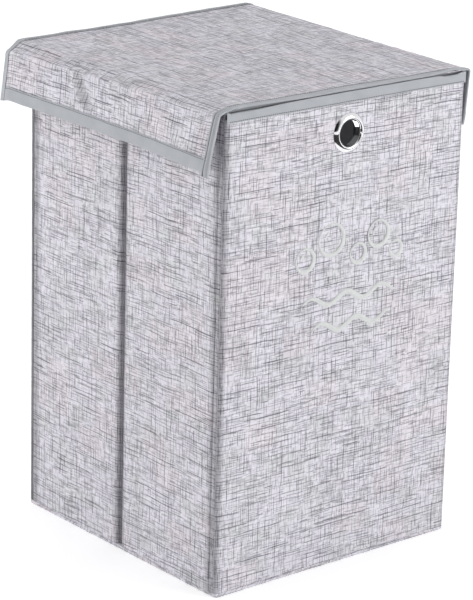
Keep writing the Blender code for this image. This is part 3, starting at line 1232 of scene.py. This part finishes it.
                # Painted shade in the corner strip, deepening towards the broad wall.
                shade = 0.36 + 0.56 * smoothstep(0.60, 0.95, share)
                place = end * (edge + share * (turned - edge))
                plan = np.stack([side.value * (wide - depth), place], -1)
                bodies = [half + "_half", broad + "_wall"]
                towards_broad = end * side.value > 0
                if not towards_broad:
                    plan, shade = plan[::-1], shade[::-1]
                    bodies = bodies[::-1]
                if side is Side.RIGHT and broad == "front":
                    bodies = ["front_wall"]
                run = self.runs[half]
                start = run.cloth_start + (run.length if towards_broad else -STRIP)
                node = f"{broad}_{side.word}_corner_web"
                self.gutter(f"{broad}_{side.word}_corner_strip", plan, shade, node, tuple(bodies), start)

    def build(self) -> None:
        """Makes every wall's pieces."""
        for run in self.runs.values():
            self.board(run)
            self.cover(run)
            self.top_tape(run)
            self.lining(run)
            LOG.info("wall %s: cover, rim tape, stitching and lining", run.name)
        self.creases()
        self.corners()
        LOG.info("two crease gutters and four corner strips")


def level_sheet(
    name: str, node: str, facing: int, thickness: float, seed: int
) -> tuple[bpy.types.Object, tuple[float, float]]:
    """A level cloth with faint waves, over the top or the bottom of a CAD node's box.

    Args:
        name: the piece's name.
        node: the CAD node.
        facing: 1 for its top, -1 for its bottom.
        thickness: the cloth's thickness.
        seed: the waves' seed.

    Returns:
        The cloth and its flat size.
    """
    low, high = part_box(node)
    width, depth = high.x - low.x, high.y - low.y
    back = (stations(depth, 10 * MM) + low.y)[::facing]
    x, y = across(stations(width, 10 * MM) + low.x, back)
    level = high.z if facing > 0 else low.z
    z = level + Ripple(0.12 * MM, 50 * MM, 140 * MM, seed).at(x, y)
    sheet = shell(name, np.stack([x, y, z], -1), np.stack([x, y], -1), thickness)
    return sheet, (width, depth)


@dataclass
class Base:
    """The cloth under the hamper, turned up round its edges, and the loose board's cover."""

    layout: Layout
    finishes: Finishes
    edge: float = 1.6 * MM

    def tray(self) -> bpy.types.Object:
        """The base cloth: a flat sheet turned up at all four sides with a small radius.

        Its rings are rounded rectangles, which go from the rim's inside, over the rim, down the outside and
        in under the base to its core. The cloth's own place is unrolled from the core outwards.
        """
        wide, deep = self.layout.half_width, self.layout.half_depth
        top, wall = self.layout.foot - 0.3 * MM, self.layout.wall
        core, squareness = 0.001, 0.02
        corners = [(wall, 0.9 * MM), (wall, top), (0.0, top), (0.0, 0.0), (wide * (1 - core), 0.0)]
        path = rounded(corners, [0.4 * MM, 0.3 * MM, self.edge], 12 * MM)
        turn = np.linspace(0, math.tau, 4 * 24 + 1)[:-1] + math.pi / 96
        ways = np.stack([np.cos(turn), np.sin(turn)], -1)
        ways = np.sign(ways) * np.abs(ways) ** squareness
        half = np.array([wide, deep])
        rings = np.empty((len(path), len(turn), 3))
        rings[..., :2] = ways[None] * np.maximum(half - path[:, :1], half * core)[:, None]
        rings[..., 2] = path[:, 1, None]
        run = lengths(path)
        unrolled = half * core + (run[-1] - run)[:, None] + np.array([0, deep - wide])
        flat = ways[None] * unrolled[:, None]
        tray = tube("base_cloth", rings, np.concatenate([flat, flat[:, :1]], 1), looped=False)
        hems = [f"{end}_bottom_hem" for end in ("front", "back", "left", "right")]
        dress(tray, self.finishes.cloth, ("base_sheet", *hems), "back_wall")
        return tray

    def board_cover(self) -> bpy.types.Object:
        """The lining glued over the base board."""
        cover, size = level_sheet("base_board_lining", "base_board_cover", 1, 0.6 * MM, 91)
        dress(cover, self.finishes.lining, ("base_board_cover",), "base_board")
        return cover

    def build(self) -> None:
        """Makes the base's pieces."""
        self.tray()
        self.board_cover()
        LOG.info("base cloth and board lining")


@dataclass
class Lid:
    """The lid's cloth, which hangs over both sides as flaps, its tapes, sewing and lining."""

    layout: Layout
    finishes: Finishes
    cloth: float = 0.9 * MM
    shoulder_start: float = 168 * MM
    shoulder_slope: float = math.radians(17)
    fold_place: float = 17.5 * MM
    hem_tape: float = 15.0 * MM
    cell: float = 4.0 * MM

    def back_share(self, y: np.ndarray) -> np.ndarray:
        """How far back a place lies, from 0 at the lid's front to 1 at its back."""
        return (y - self.layout.lid_front) / (self.layout.lid_back - self.layout.lid_front)

    def lift(self, x: np.ndarray, y: np.ndarray) -> np.ndarray:
        """How far the cloth stands above the lid's top plane: slight puckers, and a raised far corner."""
        back = smoothstep(self.layout.lid_front, self.layout.lid_back, y)
        right = smoothstep(-self.layout.half_width, self.layout.half_width, x)
        left_back = (1 - right) * back
        puckers = Ripple(0.45 * MM, 60 * MM, 170 * MM, 31).at(x, y)
        fine = Ripple(0.12 * MM, 16 * MM, 45 * MM, 32).at(x, y)
        return 0.4 * MM + puckers + fine + back * right * 7.5 * MM + left_back * 3.4 * MM

    def depths(self) -> np.ndarray:
        """The places from the lid's front to its back where the cloth is drawn."""
        low, high = self.layout.lid_front, self.layout.lid_back
        return low + stations(high - low, self.cell, (1 * MM, 2.5 * MM))

    def top(self) -> bpy.types.Object:
        """The middle of the lid's cloth, over its board."""
        half = self.shoulder_start
        x, y = across(np.linspace(-half, half, round(2 * half / (1.3 * self.cell))), self.depths())
        face = np.stack([x, y, self.layout.height + self.lift(x, y)], -1)
        top = shell("lid_cloth", face, np.stack([y, x], -1), self.cloth)
        dress(top, self.finishes.cloth, ("lid_top_fabric",), "lid")
        return top

    def fold_at(self, side: Side, y: np.ndarray) -> np.ndarray:
        """How far the fold lies from the shoulder's start: further at the back."""
        share = self.back_share(y)
        spread = self.fold_place + 6.5 * MM * smoothstep(0.1, 1.0, share)
        return spread if side is Side.LEFT else spread - 3.5 * MM * (1 - share)

    def drop(self, y: np.ndarray) -> np.ndarray:
        """How far the cloth reaches past the fold: a little less towards the back."""
        share = self.back_share(y)
        return 63 * MM - 7.5 * MM * share

    def flare(self, side: Side, y: np.ndarray) -> np.ndarray:
        """How far out of plumb a flap hangs, in radians."""
        share = self.back_share(y)
        if side is Side.RIGHT:
            return np.radians(-3.0 + 3.0 * share)
        return np.radians(4.0 + 9.5 * (1 - smoothstep(0, 0.40, share)) + 3.0 * smoothstep(0.75, 1, share))

    def flap_face(
        self, side: Side, y: np.ndarray, travel: np.ndarray, proud: float = 0.0
    ) -> np.ndarray:
        """The cloth's outer face past the shoulder's start, at a distance travelled across it.

        Its direction turns by the shoulder's slope just past the start and by the rest at the fold, each by
        a smooth step, and the place is the running sum of that direction. Wrinkles are laid on along the
        normal.

        Args:
            side: which flap.
            y: places from front to back, one for each row.
            travel: shares of the way from the shoulder's start (0) to the hem (1), one for each column.
            proud: an extra distance outwards.

        Returns:
            The points, rows by columns by 3.
        """
        fine = np.linspace(0, 1, 241)
        fold = self.fold_at(side, y)[:, None]
        total = fold + self.drop(y)[:, None]
        reach = fine[None] * total
        hang = math.pi / 2 - self.flare(side, y)[:, None]
        ends = 1 - smoothstep(0, 18 * MM, self.layout.lid_back - y)[:, None]
        slope = self.shoulder_slope * (1 if side is Side.LEFT else 0.3) + math.radians(12) * ends
        angle = slope * smoothstep(1.5 * MM, 8 * MM, reach)
        angle = angle + (hang - slope) * smoothstep(fold - 3.2 * MM, fold + 2.6 * MM, reach)
        curl = smoothstep(0.55, 1.0, fine[None]) * math.radians(7)
        angle = angle + curl * (1 if side is Side.RIGHT else 0.2)
        leg = total / (len(fine) - 1)
        middle = (angle[:, 1:] + angle[:, :-1]) / 2
        zero = np.zeros((len(y), 1))
        out = np.concatenate([zero, np.cumsum(np.cos(middle) * leg, 1)], 1)
        down = np.concatenate([zero, np.cumsum(np.sin(middle) * leg, 1)], 1)
        out, down, angle = (columns_at(whole, travel) for whole in (out, down, angle))
        reach = travel[None] * total
        grid_y = np.repeat(y[:, None], len(travel), 1)
        bulge = self.wrinkles(side, grid_y, reach) + proud
        start = side.value * self.shoulder_start
        lift = self.lift(np.full_like(grid_y, start), grid_y)
        fade = 1 - 0.7 * smoothstep(0, self.fold_place, reach)
        x = self.shoulder_start + out + bulge * np.sin(angle)
        z = self.layout.height + lift * fade - down + bulge * np.cos(angle)
        return np.stack([side.value * x, grid_y, z], -1)

    def wrinkles(self, side: Side, y: np.ndarray, reach: np.ndarray) -> np.ndarray:
        """The wrinkles of a hanging flap, in metres outwards, none at the shoulder's start.

        Each tuck is given in millimetres: how far its top lies from the back and below the fold, the same
        for its foot, its width and its height.
        """
        hung = smoothstep(self.fold_place - 4 * MM, self.fold_place + 14 * MM, reach)
        shoulder = smoothstep(2 * MM, 9 * MM, reach) * (1 - hung)
        corner = np.array([self.layout.lid_back, self.fold_place])
        away = np.array([-MM, MM])
        tucks = [
            Crease(tuple(corner + top * away), tuple(corner + foot * away), width * MM, height * MM)
            for top, foot, width, height in (
                ((130, 2), (152, 44), 5.0, 4.8),
                ((142, 2), (165, 46), 6.0, -3.0),
                ((62, 8), (74, 46), 4.0, 3.0),
                ((40, 4), (46, 40), 3.6, -2.2),
                ((96, 10), (100, 42), 6.0, 1.6),
                ((235, 4), (228, 44), 8.0, 1.5),
                ((318, 3), (326, 46), 7.0, -1.4),
            )
        ]
        if side is Side.RIGHT:
            tucks = tucks[2:5]
        total = sum(tuck.at(y, reach) for tuck in tucks)
        waves = Ripple(0.9 * MM, 38 * MM, 95 * MM, 41 + side.value).at(y, reach * 0.35)
        fine = Ripple(0.22 * MM, 9 * MM, 26 * MM, 43 + side.value).at(y, reach * 0.6)
        gathers = Ripple(0.35 * MM, 14 * MM, 30 * MM, 45 + side.value).at(y, reach * 0.2)
        return (total + waves + fine) * hung + gathers * shoulder

    def flap(self, side: Side) -> bpy.types.Object:
        """One side of the lid's cloth: the shoulder, the fold and the hanging flap, down to its hem."""
        y = self.depths()
        near = np.linspace(0, 0.36, 30)
        share = np.concatenate([near, np.linspace(0.36, 1, 22)[1:]])
        face = self.flap_face(side, y, share)
        travel = share[None] * (self.fold_at(side, y) + self.drop(y))[:, None]
        cloth = np.stack([face[..., 1], side.value * (self.shoulder_start + travel)], -1)
        if side is Side.RIGHT:
            face, cloth = face[::-1], cloth[::-1]
        flap = shell(f"{side.word}_flap_cloth", face, cloth, self.cloth)
        dress(flap, self.finishes.cloth, (f"{side.word}_flap_fabric",))
        self.bend(flap)
        return flap

    def bend(self, obj: bpy.types.Object) -> None:
        """Bakes a piece's placement into its mesh."""
        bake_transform(obj)

    def hem(self, side: Side) -> bpy.types.Object:
        """The tape round a flap's lower edge: a fold on the outside, round the edge and up the inside."""
        y = self.depths()
        total = (self.fold_at(side, y) + self.drop(y)).mean()
        high = 1 - self.hem_tape / total
        rows = 8
        share = np.linspace(high, 1.0, rows)
        outer = self.flap_face(side, y, share, 0.75 * MM)
        inner = self.flap_face(side, y, share[::-1], -1.6 * MM)
        turn = self.flap_face(side, y, np.array([1.0]), -0.4 * MM)
        turn[..., 2] -= 0.9 * MM
        face = np.concatenate([outer, turn, inner], 1)
        wave = Ripple(0.5 * MM, 30 * MM, 80 * MM, 51).at(face[..., 1], face[..., 0] * 0)
        steady = np.linspace(1, 0.3, rows)
        face[..., 2] += wave * np.concatenate([steady, [0.3], steady[::-1]])
        wrapped = np.linspace(0, 2 * self.hem_tape + 1 * MM, 2 * rows + 1)
        cloth = np.stack([face[..., 1], across(y, wrapped)[1]], -1)
        if side is Side.RIGHT:
            face, cloth = face[::-1], cloth[::-1]
        tape = shell(f"{side.word}_flap_hem", face, cloth, TAPE)
        dress(tape, self.finishes.tape, (f"{side.word}_flap_tape",))
        self.bend(tape)
        line = self.flap_face(side, y[3:-3], np.array([high + 1.8 * MM / total]), 0.8 * MM)[:, 0]
        out = np.repeat(np.array([[side.value, 0.0, 0.1]]), len(line), 0)
        row = stitches(f"{side.word}_flap_hem_stitching", line, out)
        dress(row, self.finishes.sewing)
        self.bend(row)
        return tape

    def end_binding(self, side: Side, back: bool) -> bpy.types.Object:
        """The tape round a flap's upright end, a thick roll at the left front where it curls forward.

        Columns go round the cloth's edge: in along the outside, round the roll and back along the inside.

        Args:
            side: which flap.
            back: whether it is the flap's back end.

        Returns:
            The tape.
        """
        rolled = side is Side.LEFT and not back
        low = 1.05 if rolled else 1.01
        share = np.concatenate([np.linspace(0, 0.36, 22), np.linspace(0.36, low, 20)[1:]])
        edge = self.layout.lid_back if back else self.layout.lid_front
        inwards = -1 if back else 1
        radius = (3.1 if rolled else 1.5) * MM
        slim = 1.5 * MM / radius
        turn = np.linspace(math.radians(200), math.radians(-115), 15)
        grown = smoothstep(0.02, 0.34, share) * (1 - slim) + slim
        round_off = np.sqrt(np.clip((low + 0.004 - share) / 0.03, 0.15, 1)) if rolled else 1.0
        over = 0.45 * MM * smoothstep(0.74, 0.80, share)
        if rolled:
            leg = np.array([8.0, 6.8, 5.6]) * MM
            nose = [(1.2 * MM - radius * math.cos(a), -0.4 * MM, radius * math.sin(a)) for a in turn]
        else:
            leg = np.array([8.0, 6.0, 4.0, 2.0, 0.9]) * MM
            sides = [(0.1, 0.5), (-0.3, 0.0), (-0.42, -0.5), (-0.3, -1.0), (0.1, -1.5)]
            nose = [(inset * MM, height * MM, 0.0) for inset, height in sides]
        columns = [(inset, 0.75 * MM, 0.0, 1) for inset in leg] + [(*place, 0) for place in nose]
        columns += [(inset, -1.7 * MM, 0.0, -1) for inset in leg[::-1]]
        inset, proud, swell, layer = np.array(columns).T[..., None]
        base = self.flap_face(side, edge + inwards * inset[:, 0], share)
        along = np.gradient(base, axis=1)
        level = np.zeros(along.shape[:2])
        normal = unit(np.stack([-along[..., 2], level, along[..., 0]], -1) * -side.value)
        normal *= np.sign(normal[..., :1] * side.value + normal[..., 2:] + 1e-9)
        face = base + normal * (proud + layer * over + swell * grown * round_off)[..., None]
        reach, width = across(share * 85 * MM, lengths(face[:, -1]))
        cloth = np.stack([reach.T, width.T], -1)
        # Painted shadow in the valley between the cloth and the rolled binding.
        valley_shade = np.exp(-((np.arange(len(columns)) - 2.6) / 1.1) ** 2) * (0.75 if rolled else 0.0)
        shade = valley_shade[:, None] * smoothstep(0.1, 0.3, share)
        if (side is Side.LEFT) == (not back):
            face, cloth, shade = face[::-1], cloth[::-1], shade[::-1]
        tape = shell(f"{side.word}_flap_{'back' if back else 'front'}_binding", face, cloth, TAPE)
        shade_seam(tape, shade)
        dress(tape, self.finishes.tape)
        self.bend(tape)
        return tape

    def cross_tape(self, back: bool) -> bpy.types.Object:
        """The tape folded over the lid's front or back edge, with a thin nose over the wall's tape."""
        top, wall = self.layout.height, self.layout.wall
        edge = self.layout.lid_back if back else self.layout.lid_front
        inwards = -1 if back else 1
        lip = 2.3 * MM
        corners = [
            (9.0 * MM, 0.9 * MM), (-0.3 * MM, 0.9 * MM), (-0.3 * MM, -lip + 0.6 * MM),
            (3.2 * MM, -lip + 0.6 * MM), (4.5 * MM, -wall), (9.0 * MM, -wall),
        ]
        path = rounded(corners, [1.2 * MM, 0.8 * MM, 0.8 * MM, 0.8 * MM], 1.6 * MM)
        half = self.shoulder_start + 6 * MM
        places = stations(2 * half, 7 * MM, (2 * MM, 5 * MM)) - half
        x, inset = across(places, path[:, 0])
        y = edge + inwards * inset
        gap = half - np.abs(x)
        end = smoothstep(110 * MM, 12 * MM, gap) * smoothstep(0, 12 * MM, gap) * (inset < 3 * MM)
        nose = np.where(x < 0, 1.5 * MM, 2.4 * MM * smoothstep(60 * MM, 20 * MM, half - x))
        rise = 0.0 if back else nose * end
        slack = Ripple(0.15 * MM, 20 * MM, 60 * MM, 57 + back).at(x, inset)
        upper = smoothstep(-2.5 * MM, 0.5 * MM, path[None, :, 1])
        shoulder = smoothstep(self.shoulder_start, half, np.abs(x)) * 1.2 * MM
        z = top + path[None, :, 1] + self.lift(x, y) * upper + rise + slack - shoulder
        face = np.stack([x, y, z], -1)
        cloth = np.stack(across(places, lengths(path)), -1)
        if not back:
            face, cloth = face[::-1], cloth[::-1]
        end_name = "back" if back else "front"
        name = f"lid_{end_name}_binding"
        tape = shell(name, face, cloth, TAPE)
        dress(tape, self.finishes.tape, (f"lid_{end_name}_tape",), "lid")
        seam = np.linspace(-half + 6 * MM, half - 6 * MM, 80)
        seam_y = np.full_like(seam, edge + inwards * 7.4 * MM)
        seam_z = top + 1.35 * MM + self.lift(seam, seam_y)
        line = np.stack([seam, seam_y, seam_z], -1)
        row = stitches(name + "_stitching", line, np.repeat(UP[None], len(line), 0))
        dress(row, self.finishes.sewing, body="lid")
        return tape

    def lining(self) -> bpy.types.Object:
        """The plain cloth under the lid's board."""
        lining, size = level_sheet("lid_underside", "lid_lining", -1, LINING, 92)
        dress(lining, self.finishes.lining, ("lid_lining",), "lid")
        return lining

    def build(self) -> None:
        """Makes the lid's pieces."""
        card("lid_card", "lid_board", "lid", (3 * MM, 9 * MM, 0.0), self.finishes)
        self.top()
        self.lining()
        for back in (False, True):
            self.cross_tape(back)
        LOG.info("lid cloth, underside and its front and back tapes")
        for side in Side:
            self.flap(side)
            self.hem(side)
            for back in (False, True):
                self.end_binding(side, back)
            LOG.info("%s flap: cloth, hem, stitching and end bindings", side.word)


@dataclass
class Eyelets:
    """The two plated rings that the hamper is carried by."""

    layout: Layout
    finishes: Finishes
    bore: float = 15.0 * MM
    flange: float = 22.5 * MM
    rise: float = 2.9 * MM
    shoulder: float = 2.2 * MM
    metal: float = 0.6 * MM

    def dome(self, inset: float) -> np.ndarray:
        """The flange and its turn into the bore as (radius, height), some way inside the outer face.

        The flange climbs from its thin outer edge, ever less steeply, to a crest near the bore, and turns
        over a quarter ellipse into the barrel.
        """
        base, rise, shoulder = 0.3 * MM, self.rise - inset, self.shoulder - inset
        crest = self.bore + self.shoulder
        climb = np.linspace(1, 0, 22)
        turn = np.linspace(0, math.pi / 2, 10)[1:]
        out = crest + (self.flange - inset - crest) * climb
        slope = np.stack([out, base + rise * (1 - climb**1.7)], -1)
        over = np.stack([crest - shoulder * np.sin(turn), base + rise * np.cos(turn)], -1)
        return np.concatenate([slope, over])

    def profile(self) -> np.ndarray:
        """The ring's closed section as (radius, height above the wall's outer face).

        It goes in over the dome, down the barrel to a rolled lip behind the wall, and back inside the metal.
        """
        back = -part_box("front_eyelet_ring")[1].y - self.layout.half_depth
        wall = self.bore + self.metal
        lip = [
            (self.bore, back),
            (self.bore + 0.4 * MM, back),
            (wall + self.shoulder, back),
            (wall + self.shoulder, back + self.metal),
            (wall, back + self.metal),
        ]
        return np.concatenate([self.dome(0.0), lip, self.dome(self.metal)[::-1]])

    def ring(self, prefix: str, outward: int) -> bpy.types.Object:
        """One ring: its section turned about the hole's axis."""
        profile = self.profile()
        count = 96
        turn = np.linspace(0, math.tau, count + 1)
        spoke = np.stack([np.cos(turn), np.sin(turn)], -1)[:-1]
        rings = np.empty((count, len(profile), 3))
        rings[..., 0] = spoke[:, None, 0] * profile[:, 0]
        rings[..., 2] = spoke[:, None, 1] * profile[:, 0] + self.layout.eyelet_height
        rings[..., 1] = outward * (self.layout.half_depth + profile[:, 1])
        section = lengths(np.concatenate([profile, profile[:1]]))
        cloth = np.stack(across(turn * self.bore, section), -1)
        ring = tube(f"{prefix}_eyelet", rings, cloth, looped=True)
        dress(ring, self.finishes.chrome, (f"{prefix}_eyelet_ring",), f"{prefix}_wall")
        return ring

    def build(self) -> None:
        """Makes both rings."""
        for prefix, outward in (("front", -1), ("back", 1)):
            self.ring(prefix, outward)
        LOG.info("two eyelet rings")


@dataclass
class Embroidery:
    """A satin-stitched picture on the front: soap bubbles over two lines of water."""

    layout: Layout
    finishes: Finishes
    stroke: float = 6.6 * MM
    pile: float = 0.9 * MM
    bubbles: tuple[tuple[float, float, float], ...] = (
        (-58 * MM, 374 * MM, 13 * MM),
        (-20 * MM, 392 * MM, 18 * MM),
        (20 * MM, 370 * MM, 11 * MM),
        (50 * MM, 388 * MM, 15 * MM),
        (77 * MM, 366 * MM, 9 * MM),
    )
    waves: tuple[tuple[float, float, float], ...] = (
        (-60 * MM, 78 * MM, 322 * MM),
        (-44 * MM, 70 * MM, 290 * MM),
    )

    def satin(self, name: str, path: np.ndarray, width: np.ndarray, looped: bool) -> bpy.types.Object:
        """A padded stroke: a flattened tube along a path on the wall's face.

        Args:
            name: the stroke's name.
            path: its middle line as (x, z).
            width: half its width at each point.
            looped: whether it closes on itself.

        Returns:
            The stroke.
        """
        if looped:
            ahead = np.roll(path, -1, 0) - np.roll(path, 1, 0)
        else:
            ahead = np.gradient(path, axis=0)
        ahead = unit(ahead)
        side = np.stack([-ahead[:, 1], ahead[:, 0]], -1)
        turn = np.linspace(0, math.tau, 15)[:-1]
        swell = (width / width.max())[:, None]
        rings = np.empty((len(path), len(turn), 3))
        spread = width[:, None] * np.cos(turn)
        rings[..., 0] = path[:, :1] + side[:, :1] * spread
        rings[..., 2] = path[:, 1:] + side[:, 1:] * spread
        rings[..., 1] = -self.layout.half_depth - 0.15 * MM - self.pile * np.sin(turn) * (0.3 + 0.7 * swell)
        closed = np.concatenate([path, path[:1]]) if looped else path
        girth = np.concatenate([turn, [math.tau]]) / math.tau * width.max() * 4
        return tube(name, rings, np.stack(across(lengths(closed), girth), -1), looped)

    def bubble(self, x: float, z: float, radius: float) -> list[bpy.types.Object]:
        """One bubble: a ring, thicker at its lower right, and a short glint inside."""
        turn = np.linspace(0, math.tau, 73)[:-1]
        path = np.stack([x + radius * np.cos(turn), z + radius * np.sin(turn)], -1)
        width = self.stroke / 2 * (0.62 + 0.30 * np.cos(turn + math.pi / 4))
        strokes = [self.satin("bubble", path, width, looped=True)]
        if radius > 12 * MM:
            arc = np.linspace(0.60, 0.86, 16) * math.pi
            inside = radius * 0.52
            path = np.stack([x + inside * np.cos(arc), z + inside * np.sin(arc)], -1)
            width = self.stroke / 2 * 0.55 * np.sin(np.linspace(0.12, 0.88, 16) * math.pi)
            strokes.append(self.satin("glint", path, width, looped=False))
        return strokes

    def water(self, start: float, end: float, height: float) -> bpy.types.Object:
        """One line of water: a sine whose stroke thins at both ends."""
        share = np.linspace(0, 1, 140)
        x = start + (end - start) * share
        z = height + 5.5 * MM * np.sin(share * math.tau * (end - start) / (52 * MM))
        width = self.stroke / 2 * (0.18 + 0.82 * np.sin(share * math.pi) ** 0.4)
        return self.satin("water", np.stack([x, z], -1), width, looped=False)

    def build(self) -> None:
        """Makes the whole picture as one piece."""
        strokes = [stroke for bubble in self.bubbles for stroke in self.bubble(*bubble)]
        strokes += [self.water(*wave) for wave in self.waves]
        for stroke in strokes:
            stroke.data.materials.append(self.finishes.satin)
        picture = joined("front_embroidery", strokes)
        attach(picture, "front_wall")
        LOG.info("embroidery of %d strokes", len(strokes))


# ---------------------------------------------------------------- the studio


@dataclass(frozen=True)
class Camera:
    """A long lens a few steps away, a little above the lid."""

    azimuth: float = math.radians(-39.85)
    elevation: float = math.radians(17.77)
    roll: float = math.radians(1.51)
    distance: float = 3.088
    lens: float = 171.1
    target: tuple[float, float, float] = (-0.1546, -0.1780, 0.3465)

    def build(self) -> None:
        """Places the camera and makes it the scene's."""
        lens = bpy.data.cameras.new("camera")
        lens.lens = self.lens
        lens.sensor_width = 36
        lens.clip_end = 100
        camera = bpy.data.objects.new("camera", lens)
        bpy.context.scene.collection.objects.link(camera)
        flat = math.cos(self.elevation)
        across_floor = Vector((math.sin(self.azimuth), -math.cos(self.azimuth), 0.0))
        away = across_floor * flat + Vector((0.0, 0.0, math.sin(self.elevation)))
        turn = (-away).to_track_quat("-Z", "Y") @ Matrix.Rotation(self.roll, 4, "Z").to_quaternion()
        place = Vector(self.target) + away * self.distance
        camera.matrix_world = Matrix.LocRotScale(place, turn, None)
        bpy.context.scene.camera = camera


@dataclass(frozen=True)
class SoftBox:
    """A large square lamp aimed at the hamper's middle."""

    name: str
    place: tuple[float, float, float]
    size: float
    power: float
    aim: tuple[float, float, float] = (0.0, 0.0, 0.3)

    def build(self) -> None:
        """Adds the lamp."""
        light = bpy.data.lights.new(self.name, "AREA")
        light.shape = "SQUARE"
        light.size = self.size
        light.energy = self.power
        lamp = bpy.data.objects.new(self.name, light)
        lamp.visible_camera = False
        bpy.context.scene.collection.objects.link(lamp)
        lamp.location = self.place
        lamp.rotation_mode = "QUATERNION"
        aim = Vector(self.aim) - Vector(self.place)
        lamp.rotation_quaternion = aim.to_track_quat("-Z", "Y")


@dataclass(frozen=True)
class Studio:
    """A pale floor, a bright sky, soft lamps, and dark cloths that only shiny things see."""

    horizon: float = 1.0
    zenith: float = 0.86
    haze: tuple[float, float] = (0.04, 0.40)
    dark: float = 0.02
    dark_way: tuple[float, float, float] = (-0.70, -0.66, 0.22)
    dark_from: float = math.radians(26)
    dark_to: float = math.radians(52)
    floor_glow: float = 0.33
    black_cloths: tuple[tuple[float, float, float, float], ...] = (
        (-2.4, -2.6, 1.3, -0.62),
        (-2.6, -0.62, -0.85, 0.4),
    )
    lamps: tuple[SoftBox, ...] = (
        SoftBox("key", (2.0, -3.0, 1.5), 1.6, 42),
        SoftBox("rear_side", (-1.7, 1.5, 1.1), 1.1, 15),
        SoftBox("inside", (0.0, -0.02, 0.34), 0.16, 0.22, aim=(0.0, -1.0, 0.34)),
    )

    def sheet(
        self, name: str, place: tuple[float, float, float, float], height: float, finish: PaleFloor
    ) -> bpy.types.Object:
        """Lays a flat rectangle that belongs to the studio.

        Args:
            name: its name.
            place: its low X and Y, then its high X and Y.
            height: how high it lies.
            finish: its material.

        Returns:
            The rectangle.
        """
        x0, y0, x1, y1 = place
        mesh = bpy.data.meshes.new(name)
        corners = [(x0, y0, height), (x1, y0, height), (x1, y1, height), (x0, y1, height)]
        mesh.from_pydata([Vector(corner) for corner in corners], [], [(0, 1, 2, 3)])
        mesh.materials.append(finish.material())
        sheet = bpy.data.objects.new(name, mesh)
        bpy.context.scene.collection.objects.link(sheet)
        return sheet

    def heaven(self) -> bpy.types.World:
        """The surroundings: white at the horizon, dimmer overhead and nearly black near one direction."""
        world = bpy.data.worlds.new("sky")
        world.use_nodes = True
        sky = Nodes(world.node_tree)
        way = sky.out("ShaderNodeTexCoord", {}, {}, "Generated")
        dark_way = Vector(self.dark_way).normalized()
        near = sky.out("ShaderNodeVectorMath", {"operation": "DOT_PRODUCT"}, {0: way, 1: dark_way}, "Value")
        fade = near.step(math.cos(self.dark_to), math.cos(self.dark_from), 1.0, self.dark)
        height = sky.out("ShaderNodeSeparateXYZ", {}, {0: way}, "Z")
        background = sky.tree.nodes["Background"]
        background.inputs["Color"].default_value = (1.0, 1.0, 1.0, 1.0)
        strength = fade * height.step(*self.haze, self.horizon, self.zenith)
        sky.feed(background.inputs["Strength"], strength)
        return world

    def build(self) -> None:
        """Adds the floor, the sky and the lamps."""
        self.sheet("floor", (-40.0, -40.0, 40.0, 40.0), 0.0, PaleFloor(glow=self.floor_glow))
        for number, place in enumerate(self.black_cloths):
            black = PaleFloor(name="black_cloth", colour=(0.02, 0.02, 0.02, 1.0))
            cloth = self.sheet(f"black_cloth_{number}", place, 2 * MM, black)
            cloth.visible_camera = cloth.visible_diffuse = cloth.visible_shadow = False
        bpy.context.scene.world = self.heaven()
        bpy.context.scene.view_settings.view_transform = "Standard"
        for lamp in self.lamps:
            lamp.build()


def main() -> None:
    """Builds the hamper's looks round the frame, and the studio round the hamper."""
    logging.basicConfig(level=logging.INFO, format="%(name)s: %(message)s")
    for old in list(bpy.data.objects):
        bpy.data.objects.remove(old)
    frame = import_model()
    layout = Layout.read()
    finishes = Finishes()
    finishes.dress_nodes(frame)
    Walls(layout, wall_runs(layout), finishes).build()
    Base(layout, finishes).build()
    Lid(layout, finishes).build()
    Eyelets(layout, finishes).build()
    Embroidery(layout, finishes).build()
    Camera().build()
    Studio().build()


if __name__ == "__main__":
    main()
